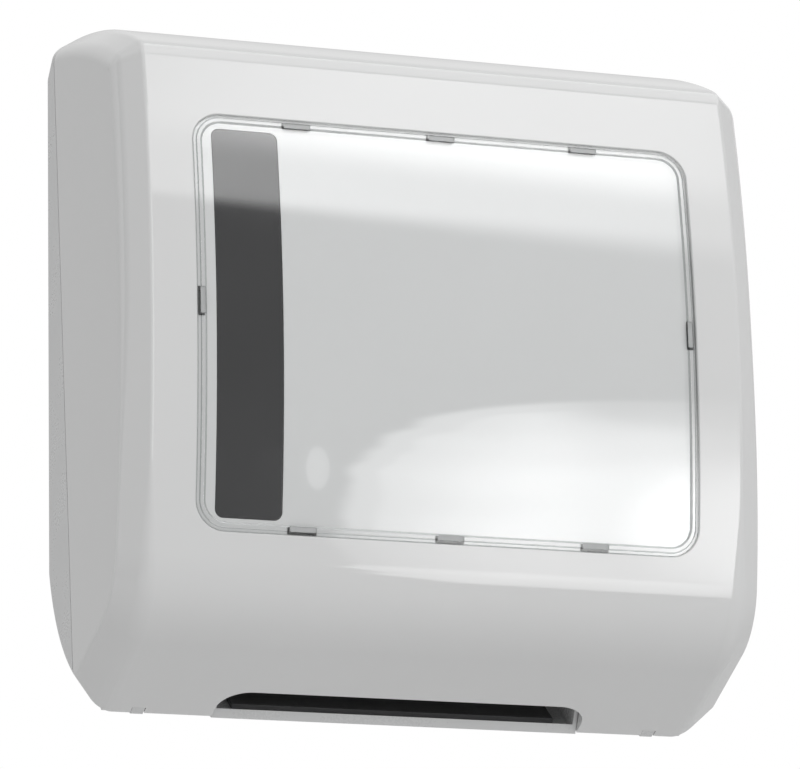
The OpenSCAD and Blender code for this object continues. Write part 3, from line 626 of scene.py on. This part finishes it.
half, top = RIB_T / 2, WALL_BOSS_D
fittings, low_rib = (block("fittings", (-SCREW_X, ROOT, z - half), (SCREW_X, top, z + half))
                     for z in (SCREW_Z, -SCREW_Z))
combine(fittings, "UNION", low_rib)
for x in RIB_X:
    combine(fittings, "UNION", block("rib", (x - half, ROOT + STAGGER, -SCREW_Z),
                                     (x + half, top - STAGGER, SCREW_Z)))
root = ROOT + 2 * STAGGER
for x, z in WALL_SCREWS:
    combine(fittings, "UNION", rod("wall_boss", WALL_BOSS_R, (x, root, z), (x, top + STAGGER, z)))
for x, z in SMALL_SCREWS:
    combine(fittings, "UNION", rod("pillar", BOSS_R, (x, root, z), (x, BOSS_D, z), 40))
for hand in (-1, 1):
    cheek = block("cheek", (hand * (SILL_X - CHEEK_T), ROOT, FOOT_Z - WALL),
                  (hand * SILL_X, 2 * SPLIT_LOW, CHEEK_TOP))
    combine(fittings, "UNION", combine(cheek, "DIFFERENCE", ahead_of_split(-SPLIT_GAP / 2)))
combine(chassis, "UNION", combine(fittings, "INTERSECT", body_solid("skin", WALL / 2)))
print(len(WALL_SCREWS), "wall bosses,", len(SMALL_SCREWS), "pillars")

# %% [markdown]
# ## Ears and holes
# Two ears carry the hinge pins, each on a web that runs back to the bottom wall. The holes are
# cut last, through whatever is in their way, as a drill would do it.

# %% Ears for the pins, and the screw holes
EAR_WEB, EAR_SKIN, PIN_OVER = [(0, -3.15), (0, 3.15), (18, 16), (22, 6), (12, 0.5)], 0.2, 3
WALL_HOLE_R, PILOT_R, HOLE_FROM, PILOT_FROM, HOLE_TO = 2.75, 1.8, -1, 2, 20

for hand in (-1, 1):
    near, far = hand * EAR_X0, hand * EAR_X1
    ear = rod("ear", EAR_R, at_hinge(near), at_hinge(far))
    combine(ear, "UNION", hinge_web("ear_web", EAR_WEB, near, far))
    combine(chassis, "UNION", combine(ear, "INTERSECT", body_solid("skin", EAR_SKIN)))
    near, far = hand * (EAR_X0 - PIN_OVER), hand * (EAR_X1 + PIN_OVER)
    combine(chassis, "DIFFERENCE", rod("pin_hole", PIN_R, at_hinge(near), at_hinge(far)))
for x, z in WALL_SCREWS:
    combine(chassis, "DIFFERENCE", rod("wall_hole", WALL_HOLE_R, (x, HOLE_FROM, z), (x, HOLE_TO, z), 40))
for x, z in SMALL_SCREWS:
    combine(chassis, "DIFFERENCE", rod("pilot", PILOT_R, (x, PILOT_FROM, z), (x, HOLE_TO, z), 32))
finish_shading(chassis)

# %% [markdown]
# ## Clear panel
# The panel is a thin clear sheet. Around its edge runs a narrow ledge and then a rounded bead that
# stands a little proud. The flat front face is inset step by step for both and bent afterwards,
# which keeps the bead even along the curve.

# %% Sheet with its rim
PANEL_GAP, RIM_W, SHEET_FRONT, SHEET_BACK, SAME = 0.3, 4.2, 0.3, 2.2, 0.01
RIM_RISE = ((1.1, 0), (0.25, 0.2), (0.3, 0.15), (0.2, 0.03))
RIM_FALL = ((0.2, -0.03), (0.35, -0.2), (0.4, -0.3), (0.2, -0.1))


def step_face(bm, face, steps):
    """Insets a face again and again, each time narrower and moved out by a rise."""
    for narrow, rise in steps:
        bmesh.ops.inset_region(bm, faces=[face], thickness=narrow, depth=rise, use_even_offset=True)


def face_out(face):
    if face.normal.y > 0:
        face.normal_flip()


bm = bmesh.new()
face = rounded_plate(bm, PANEL_W - 2 * PANEL_GAP, PANEL_H - 2 * PANEL_GAP, PANEL_CORNER - PANEL_GAP,
                     y=SHEET_FRONT, z=PANEL_Z)
face_back = sink(bm, face, SHEET_BACK - SHEET_FRONT)
face = [f for f in bm.faces if f is not face_back
        and abs(f.calc_center_median().y - SHEET_FRONT) < SAME][0]
face_out(face)
flat_rim = RIM_W - sum(n for n, r in RIM_RISE + RIM_FALL)
step_face(bm, face, RIM_RISE + ((flat_rim, 0),) + RIM_FALL)
panel = new_piece("panel_sheet", bend_out(bm))
print("sheet with a rim of", RIM_W, "mm", len(panel.data.polygons), "faces")

# %% [markdown]
# ## Snap hooks
# Eight hooks at the back of the panel pass through the slots of the seat and grip behind it. In
# front of each lies a shallow pad sunk into the rim. Hook and pad are bars along the edge of the
# panel, bent like the sheet, so that they stay square to it.

# %% Hooks and pads
HOOK_L, HOOK_T, HOOK_END, HOOK_GRIP = 12, 2.6, SEAT_BACK + 2.6, SEAT_BACK + 0.15
HOOK_ROOT, HOOK_NOSE, NOSE_FROM, NOSE_TO = 1.4, 2.9, HOOK_GRIP + 0.1, HOOK_GRIP + 0.7
HOOK = [(-HOOK_T / 2, HOOK_ROOT), (HOOK_T / 2, HOOK_ROOT), (HOOK_T / 2, HOOK_GRIP),
        (HOOK_NOSE, NOSE_FROM), (HOOK_NOSE, NOSE_TO), (HOOK_T / 2, HOOK_END), (-HOOK_T / 2, HOOK_END)]
PAD_L, PAD_DEEP, PAD_ABOVE, PAD_IN, PAD_OUT = 12.6, 0.75, -1, -1.7, 0.8
PAD = [(PAD_IN, PAD_ABOVE), (PAD_OUT, PAD_ABOVE), (PAD_OUT, PAD_DEEP), (PAD_IN, PAD_DEEP)]


def clip_bar(clip, side, length):
    """A bar along the edge of the panel; side is its end, as places out of the panel and deep."""
    x, z, (out_x, out_z) = clip
    bm = bmesh.new()
    way, along = Vector((out_x, 0, out_z)), Vector((abs(out_z), 0, abs(out_x)))
    start = Vector((x, 0, z)) - along * length / 2
    places = [start + way * out + Vector((0, deep, 0)) for out, deep in side]
    face = bm.faces.new([bm.verts.new(p) for p in places])
    draw_out(bm, face, along * length)
    return new_piece("clip_bar", bend_out(bm))


for clip in CLIPS:
    combine(panel, "DIFFERENCE", clip_bar(clip, PAD, PAD_L))
    combine(panel, "UNION", clip_bar(clip, HOOK, HOOK_L))
finish_shading(panel)

# %% [markdown]
# ## Level window
# Through this smoked strip one sees how many towels are left. It is pushed into its cut from
# behind, up to a flange at its back. Strip and flange are two bent plates; small steps at the
# front edge catch a line of light.

# %% Level window
WINDOW_GAP, FLANGE_W, FLANGE_T, END_LAP, STRIP_LAP, STRIP_SUNK = 0.15, 3, 1.5, 1, 0.2, 0.1
WINDOW_EDGE = ((0.08, 0.15), (0.12, 0.1), (0.2, 0.05))

bm = bmesh.new()
face = rounded_plate(bm, WINDOW_W - 2 * WINDOW_GAP, WINDOW_H - 2 * WINDOW_GAP, WINDOW_CORNER - WINDOW_GAP,
                     x=WINDOW_X, z=PANEL_Z, y=SEAT_BACK + STRIP_LAP)
face_out(face)
step_face(bm, draw_out(bm, face, (0, -SEAT_T + STRIP_SUNK, 0)), WINDOW_EDGE)
window = new_piece("window_strip", bend_out(bm))
flange = bent_plate("flange", WINDOW_W + 2 * FLANGE_W, WINDOW_H + 2 * END_LAP, WINDOW_CORNER,
                    SEAT_BACK, SEAT_BACK + FLANGE_T, x=WINDOW_X, z=PANEL_Z)
finish_shading(combine(window, "UNION", flange))

# %% [markdown]
# ## Small pieces
# Tray, guides, keeper, screws and lock have the right shape already. In a copy of each solid the
# flat faces are joined again and the edges get the small rounding of a moulded or stamped edge,
# because a sharp edge never catches the light. The trough of the tray is also drawn in a little.

# %% Rounded copies of the small solids
WELD, FLAT_BELOW, ROUND_ABOVE = 0.005, math.radians(0.5), math.radians(35)
TROUGH_TAPER, TROUGH_TOP = 0.91, SHELF_Z - 3


def rounded_copy(node, width):
    bm = bmesh.new()
    bm.from_mesh(frame["nodes"][node].data)
    bmesh.ops.remove_doubles(bm, verts=bm.verts, dist=WELD * MM)
    bmesh.ops.dissolve_limit(bm, angle_limit=FLAT_BELOW, verts=bm.verts, edges=bm.edges)
    edges = [e for e in bm.edges if len(e.link_faces) == 2 and e.calc_face_angle(0) > ROUND_ABOVE]
    round_edges(bm, edges, width, 2)
    return finish_shading(new_piece(node + "_skin", bm))


SMALL_PIECES = (
    # The tray and guides take the nearly black grey: painted shade for the inside of the mouth.
    ("chassis", "grey_plastic", 0.4, ("towel_tray", "side_guide_left", "side_guide_right")),
    ("chassis", "steel", 0.2, ("tray_screws", "guide_screws")),
    ("chassis", "steel", 0.3, ("lock_keeper",)), ("chassis", "steel", 0.2, ("keeper_screws",)),
    ("chassis", "steel", 0.3, ("hinge_pin_left", "hinge_pin_right")),
    ("cover", "lock_plated", 0.2, ("lock_housing",)), ("cover", "steel", 0.15, ("lock_washer",)),
    ("cover", "lock_plated", 0.3, ("lock_nut",)), ("lock", "lock_plated", 0.2, ("lock_plug",)),
    ("lock", "steel", 0.15, ("stop_washer",)), ("lock", "steel", 0.25, ("lock_cam",)),
    ("lock", "steel", 0.2, ("cam_screw",)))
pieces = [(cover, "cover", "front_cover", "cover_abs"),
          (chassis, "chassis", "rear_chassis", "chassis_abs"),
          (panel, "cover", "clear_panel", "clear_acrylic"),
          (window, "cover", "level_window", "smoked_acrylic")]
for body, slot, width, nodes in SMALL_PIECES:
    pieces += [(rounded_copy(node, width), body, node, slot) for node in nodes]
tray = [piece for piece, body, node, slot in pieces if node == "towel_tray"][0]
for v in tray.data.vertices:
    if v.co.z < TROUGH_TOP * MM:
        v.co.x *= TROUGH_TAPER
print(len(pieces), "pieces in all")

# %% [markdown]
# ## Writing shader maths
# A finish is a little program: patterns in, colour, roughness and bump out. A small class wraps a
# socket so that sums can be written as sums, and one method adds any other node, also to the world.

# %% Sockets that can be added and multiplied
class Wire:
    """One output of a shader node."""

    def __init__(self, nodes, socket):
        self.nodes, self.socket = nodes, socket

    def sum(self, how, a, b):
        return self.nodes.node("ShaderNodeMath", {"operation": how}, {0: a, 1: b})

    def __add__(self, other):
        return self.sum("ADD", self, other)

    def __sub__(self, other):
        return self.sum("SUBTRACT", self, other)

    def __rsub__(self, other):
        return self.sum("SUBTRACT", other, self)

    def __mul__(self, other):
        return self.sum("MULTIPLY", self, other)

    def at_least(self, other):
        return self.sum("MAXIMUM", self, other)

    def soft(self, start, stop):
        """Goes smoothly from 0 to 1 between two values."""
        return self.nodes.node("ShaderNodeMapRange", {"interpolation_type": "SMOOTHSTEP"},
                               {"Value": self, "From Min": start, "From Max": stop})

    __radd__, __rmul__ = __add__, __mul__


class Nodes:
    """A node tree, and the method that adds nodes to it."""

    def __init__(self, owner):
        owner.use_nodes = True
        self.tree = owner.node_tree

    def node(self, kind, settings, sockets, out=0):
        made = self.tree.nodes.new(kind)
        for key, value in settings.items():
            setattr(made, key, value)
        for key, value in sockets.items():
            if isinstance(value, Wire):
                self.tree.links.new(value.socket, made.inputs[key])
            else:
                made.inputs[key].default_value = value
        return Wire(self, made.outputs[out])


# %% A material made of them
class Finish(Nodes):
    """A material with one Principled shader."""

    def __init__(self, name, **constants):
        self.material = bpy.data.materials.new(name)
        super().__init__(self.material)
        self.shader = self.tree.nodes["Principled BSDF"]
        for socket, value in constants.items():
            self.shader.inputs[socket.replace("_", " ")].default_value = value
        self.place = self.node("ShaderNodeTexCoord", {}, {}, "Object")

    def noise(self, scale, detail=2, stretch=None):
        place = self.place
        if stretch:
            place = self.node("ShaderNodeMapping", {}, {"Vector": place, "Scale": stretch})
        return self.node("ShaderNodeTexNoise", {}, {"Vector": place, "Scale": scale, "Detail": detail})

    def blend(self, factor, a, b):
        return self.node("ShaderNodeMix", {"data_type": "RGBA"},
                         {"Factor": factor, 6: (*a, 1), 7: (*b, 1)}, 2)

    def bump(self, height, distance, below=None):
        sockets = {"Height": height, "Distance": distance}
        if below:
            sockets["Normal"] = below
        return self.node("ShaderNodeBump", {}, sockets)

    def feed(self, socket, wire):
        self.tree.links.new(wire.socket, self.shader.inputs[socket])


# %% [markdown]
# ## Opaque plastics
# The cover is white ABS from a polished mould: glossy, with slow waves where the wall shrank and
# a very fine orange peel. The chassis and the grey insides come from duller moulds, and the tray
# and guides are coloured nearly black as painted shade for the dark inside of the mouth. Faint
# noise of several sizes gives the clouds, waves and grain.

# %% White, grey and smoked plastic
ABS_IOR, ACRYLIC_IOR = 1.52, 1.49
CLOUDS, SHINE, GRAIN, WAVES = 14, 45, 900, 10


def moulded_plastic(name, pale, dark, rough, grain, waves):
    """Glossy or satin plastic: faint clouds of colour, slow waves and fine grain."""
    finish = Finish(name, IOR=ABS_IOR)
    fine = finish.noise(GRAIN, 2)
    finish.feed("Base Color", finish.blend(finish.noise(CLOUDS, 3), dark, pale))
    finish.feed("Roughness", rough * (0.4 + 0.7 * finish.noise(SHINE, 4) + 0.5 * fine))
    wave = finish.bump(finish.noise(WAVES, 1), waves * MM)
    finish.feed("Normal", finish.bump(fine, grain * MM, wave))
    return finish.material


def smoked_plastic(name, pale, dark, waves):
    finish = Finish(name, IOR=ACRYLIC_IOR)
    finish.feed("Base Color", finish.blend(finish.noise(20, 3), dark, pale))
    finish.feed("Roughness", 0.06 + 0.05 * finish.noise(60, 4))
    finish.feed("Normal", finish.bump(finish.noise(12, 1), waves * MM))
    return finish.material


finishes = {
    "cover_abs": moulded_plastic("white_abs", (0.8, 0.803, 0.802), (0.78, 0.783, 0.782),
                                 rough=0.03, grain=0.0005, waves=0.06),
    "chassis_abs": moulded_plastic("chassis_abs", (0.74, 0.745, 0.745), (0.71, 0.715, 0.715),
                                   rough=0.3, grain=0.0012, waves=0.1),
    # Painted shade: the tray and guides are coloured nearly black so that the inside of the mouth looks
    # dark.
    "grey_plastic": moulded_plastic("grey_plastic", (0.115, 0.116, 0.118), (0.095, 0.096, 0.098),
                                    rough=0.45, grain=0.006, waves=0.05),
    "smoked_acrylic": smoked_plastic("smoked_acrylic", (0.022, 0.022, 0.024), (0.014, 0.014, 0.015),
                                     waves=0.05)}
print("plastics:", ", ".join(finishes))

# %% [markdown]
# ## Clear plastic
# A thin clear sheet shows what is behind it and adds a reflection that grows with the angle. Real
# refraction would be slow and noisy, so a transparent shader is mixed with a mirror by a Fresnel
# factor. The snap hooks look milky, so they are plain pale plastic.

# %% Clear and milky plastic
TWO_FACES = 1.9


def clear_plastic(name, tint):
    finish = Finish(name, Metallic=1.0, Base_Color=(1, 1, 1, 1))
    finish.feed("Roughness", 0.004 + 0.012 * finish.noise(60, 4))
    gloss = finish.node("ShaderNodeFresnel", {}, {"IOR": ACRYLIC_IOR})
    inside = finish.node("ShaderNodeNewGeometry", {}, {}, "Backfacing")
    see = finish.node("ShaderNodeBsdfTransparent", {}, {"Color": (*tint, 1)})
    mirror = Wire(finish, finish.shader.outputs[0])
    share = TWO_FACES * gloss * (1 - inside)
    mixed = finish.node("ShaderNodeMixShader", {}, {0: share, 1: see, 2: mirror})
    finish.tree.links.new(mixed.socket, finish.tree.nodes["Material Output"].inputs["Surface"])
    return finish.material


def frosted_plastic(name, pale, dark):
    finish = Finish(name, IOR=ACRYLIC_IOR)
    finish.feed("Base Color", finish.blend(finish.noise(200, 3), dark, pale))
    finish.feed("Roughness", 0.2 + 0.2 * finish.noise(80, 3))
    return finish.material


finishes["clear_acrylic"] = clear_plastic("clear_acrylic", (0.997, 1, 1))
print("clear sheet of index", ACRYLIC_IOR)

# %% [markdown]
# ## Metal
# Screws, pins and keeper are zinc plated, the lock is nickel plated. Both are metal with faint
# streaks along the tool marks and small clouds in the shine; stretched noise gives the streaks.

# %% Zinc and nickel
def plated_metal(name, pale, dark, rough, streak):
    finish = Finish(name, Metallic=1.0)
    lines = finish.noise(700, 2, stretch=(1, 1, streak))
    cloud = finish.noise(120, 3)
    finish.feed("Base Color", finish.blend(cloud, dark, pale))
    finish.feed("Roughness", rough + 0.12 * (lines - 0.5) + 0.1 * (cloud - 0.5))
    finish.feed("Normal", finish.bump(lines, 0.004 * MM))
    return finish.material


finishes["steel"] = plated_metal("zinc_plated_steel", (0.66, 0.67, 0.68), (0.56, 0.57, 0.59), 0.34, 0.1)
finishes["lock_plated"] = plated_metal("nickel_plate", (0.8, 0.79, 0.77), (0.73, 0.72, 0.7), 0.18, 1)
for piece, body, node, slot in pieces:
    piece.data.materials.clear()
    piece.data.materials.append(finishes[slot])
    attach(piece, body)
    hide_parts(node)
print(len(pieces), "pieces in", len(finishes), "finishes")

# %% [markdown]
# ## Lines of the rim
# Light that enters a steep step of a clear part is lost to the side, so the steps of the rim are
# seen as fine grey lines. The steep faces of the panel get a darker clear finish for that, and
# the snap hooks and their pads get the milky one.

# %% Steps and hooks of the panel
STEEP, BEHIND, ON_PAD = math.cos(math.radians(25)), 0.1, 0.06

panel.data.materials.append(clear_plastic("clear_steps", (0.66, 0.67, 0.67)))
panel.data.materials.append(frosted_plastic("frosted_hooks", (0.5, 0.51, 0.51), (0.42, 0.43, 0.43)))
for face in panel.data.polygons:
    outward = Vector((0, face.center.y / MM + C_FRONT[0], face.center.z / MM - C_FRONT[1]))
    deep = FRONT_R - outward.length
    steep = abs(face.normal.dot(outward.normalized())) < STEEP
    milky = deep > SHEET_BACK + BEHIND or abs(deep - PAD_DEEP) < ON_PAD and not steep
    face.material_index = 2 if milky else int(steep)
print("faces by finish", [sum(f.material_index == i for f in panel.data.polygons) for i in range(3)])

# %% [markdown]
# ## Light
# A white studio: an even world, a softbox high at the right, a round lamp below it and a tall fill
# light near the middle. For matt light the world is dimmer than where it is seen or mirrored, so
# the lamps model the form and the background is still white.

# %% World
MATT_LIGHT = 0.53
scene.world = bpy.data.worlds.new("studio")
sky = Nodes(scene.world)
camera_ray, glossy_ray, clear_ray = (sky.node("ShaderNodeLightPath", {}, {}, f"Is {kind} Ray")
                                     for kind in ("Camera", "Glossy", "Transmission"))
seen = camera_ray.at_least(glossy_ray).at_least(clear_ray)
strength = sky.node("ShaderNodeMapRange", {}, {"Value": seen, "To Min": MATT_LIGHT, "To Max": 1.0})
back = sky.tree.nodes["Background"].inputs
back["Color"].default_value = (1, 1, 1, 1)
sky.tree.links.new(strength.socket, back["Strength"])
print("world", MATT_LIGHT, "for matt light, 1 where it is seen")


# %% Lamps
def standing(place, tilt, lean=math.pi / 2):
    """A frame that looks at the dispenser from in front, turned in its own plane; lean 0 is flat."""
    return Matrix.Translation(place) @ Matrix.Rotation(tilt, 4, "Y") @ Matrix.Rotation(lean, 4, "X")


def lamp(name, size, place, tilt, radiance, mirrored=False):
    light = bpy.data.lights.new(name, "AREA")
    light.shape, light.size, light.size_y = "RECTANGLE", *size
    light.energy = radiance * math.pi * size[0] * size[1]
    holder = bpy.data.objects.new(name, light)
    holder.matrix_world = standing(place, tilt)
    holder.visible_camera = False
    holder.visible_glossy = holder.visible_transmission = mirrored
    scene.collection.objects.link(holder)


SOFTBOX, SOFTBOX_TILT = Vector((1.35, -2.3, 1.62)), math.radians(15)
lamp("softbox", (1.4, 1.2), SOFTBOX, SOFTBOX_TILT, 2.7)
lamp("round_lamp", (0.7, 0.7), (1.0, -2.3, -0.02), 0, 3)
lamp("fill", (0.8, 1.8), (-0.2, -2.4, 0.9), 0, 1.8, mirrored=True)

# %% [markdown]
# ## Cards for the reflections
# A glossy front mirrors the room, so the room is given by cards that only reflections see: dim
# walls all around, a bright ceiling at the right, the fading face of the softbox and a round lamp
# with a ragged edge. Area lights have no pattern, so the faces of the lamps are cards too.

# %% One card
DIM, DIM_LEFT, DIM_BEHIND, CEILING, MOTTLE = 0.47, 0.1, 0.61, 2.3, 0.04


def card(name, low, high, place, tilt=0.0, glow=None, dim=DIM, turn_in=0.0, lean=math.pi / 2):
    """A card that only reflections see; glow turns the places across and up it into brightness."""
    turned = (Matrix.Translation(place) @ Matrix.Rotation(turn_in, 4, "Z")
              @ standing((0, 0, 0), tilt, lean))
    bm = bmesh.new()
    (x, w), (y, h) = (((a + b) / 2, b - a) for a, b in zip(low, high))
    bmesh.ops.create_grid(bm, x_segments=1, y_segments=1, size=0.5, matrix=turned
                          @ Matrix.Translation((x, y, 0)) @ Matrix.Diagonal((w, h, 1, 1)))
    piece = new_piece(name, bm)
    finish = Finish(name, Base_Color=(0, 0, 0, 1), Roughness=1.0, Specular_IOR_Level=0.0,
                    Emission_Strength=1.0)
    offset = finish.node("ShaderNodeVectorMath", {"operation": "SUBTRACT"}, {0: finish.place, 1: place})
    across, up = (finish.node("ShaderNodeVectorMath", {"operation": "DOT_PRODUCT"},
                              {0: offset, 1: turned.to_3x3().col[i]}, "Value") for i in (0, 1))
    bright = dim + MOTTLE * (finish.noise(2, 2) - 0.5)
    finish.feed("Emission Color", glow(finish, across, up, bright) if glow else bright)
    piece.data.materials.append(finish.material)
    piece.visible_camera = piece.visible_diffuse = piece.visible_shadow = False
    print("card", name, "from", low, "to", high)


# %% What the cards show
def softbox_glow(finish, across, up, bright):
    """Brighter to the left and in a middle patch, with a lower edge that rises to the right."""
    edge = up.soft(-0.6, -0.34 + 0.26 * across.at_least(-0.9))
    middle = (across + 0.42) * (1 / 0.48)
    middle = (1 - middle * middle).soft(0.0, 1.0) * up.soft(-0.3, 0.0)
    return bright + edge * (1.5 - 0.92 * across + 2.1 * middle)


def round_glow(finish, across, up, bright):
    """A tall oval with a ragged rim, a hot core and a small spot at its left."""
    def ellipse(x, z, wide, above, below):
        a, b = (across - x) * (1 / wide), up - z
        high = b.soft(-0.001, 0.001)
        b = high * b * (1 / above) + (1 - high) * b * (1 / below)
        return 1 - a * a - b * b

    ragged = 0.5 * (finish.noise(6, 2, stretch=(0.4, 1, 1)) - 0.5)
    near = ellipse(0, -0.1, 0.36, 0.545, 1.1) + 0.1 + ragged
    hot = ellipse(0.09, -0.1, 0.2, 0.36, 0.36).soft(0.0, 1.0)
    spot = ellipse(-0.395, 0.05, 0.013, 0.1, 0.1).soft(0.0, 0.4)
    left = across.soft(-0.08, -0.18)
    rim = near.soft(0.0, 0.12) * (0.65 + 0.75 * left + 1.5 * up.soft(-0.4, -0.5))
    core = near.soft(0.12, 1.0) * (2.55 - 0.6 * left) + 0.4 * left * near.soft(0.2, 0.25)
    return bright + (rim + core) * up.soft(-1.1, -1.05) + 2.6 * hot + 0.8 * spot


def behind_glow(finish, across, up, bright):
    return bright + 0.3 * up.soft(0.8, 1.5)


# %% Cards in their places
card("dim_wall", (-4, -2), (5, 4), Vector((0, -3.4, 0)))
card("softbox_face", (-1.2, -0.6), (0.7, 0.9), SOFTBOX - Vector((0, 0.05, 0)), SOFTBOX_TILT,
     softbox_glow)
card("round_face", (-0.6, -1.3), (0.7, 0.7), Vector((1.0, -2.35, -0.02)), glow=round_glow)
card("wall_left", (-2, -1.5), (3, 3), Vector((-2.6, -1.2, 0)), dim=DIM_LEFT, turn_in=math.radians(-60))
card("wall_right", (-3, -1.5), (3, 3), Vector((3, 0.6, 0)), turn_in=math.radians(90))
card("ceiling", (0.35, -1.6), (3, 1.6), Vector((0, -0.6, 2.9)), dim=CEILING, lean=0)
card("wall_behind", (-3, -1.5), (3, 4), Vector((0, 1.7, 0)), glow=behind_glow, dim=DIM_BEHIND)

# %% [markdown]
# ## Floor
# A pale paper floor far below throws soft light up under the chin. One flat face is enough: the
# world behind it is white already, so no curved sweep is needed.

# %% Floor
FLOOR_Z, FLOOR_SIZE = -1.4, 6
bm = bmesh.new()
bmesh.ops.create_grid(bm, x_segments=1, y_segments=1, size=FLOOR_SIZE,
                      matrix=Matrix.Translation((0, 0, FLOOR_Z)))
floor = new_piece("floor", bm)
pale = Finish("floor_paper", Roughness=0.9)
pale.feed("Base Color", pale.blend(pale.noise(3, 2), (0.86, 0.86, 0.86), (0.9, 0.9, 0.9)))
floor.data.materials.append(pale.material)
print("floor", -FLOOR_Z, "m below the middle of the screws")
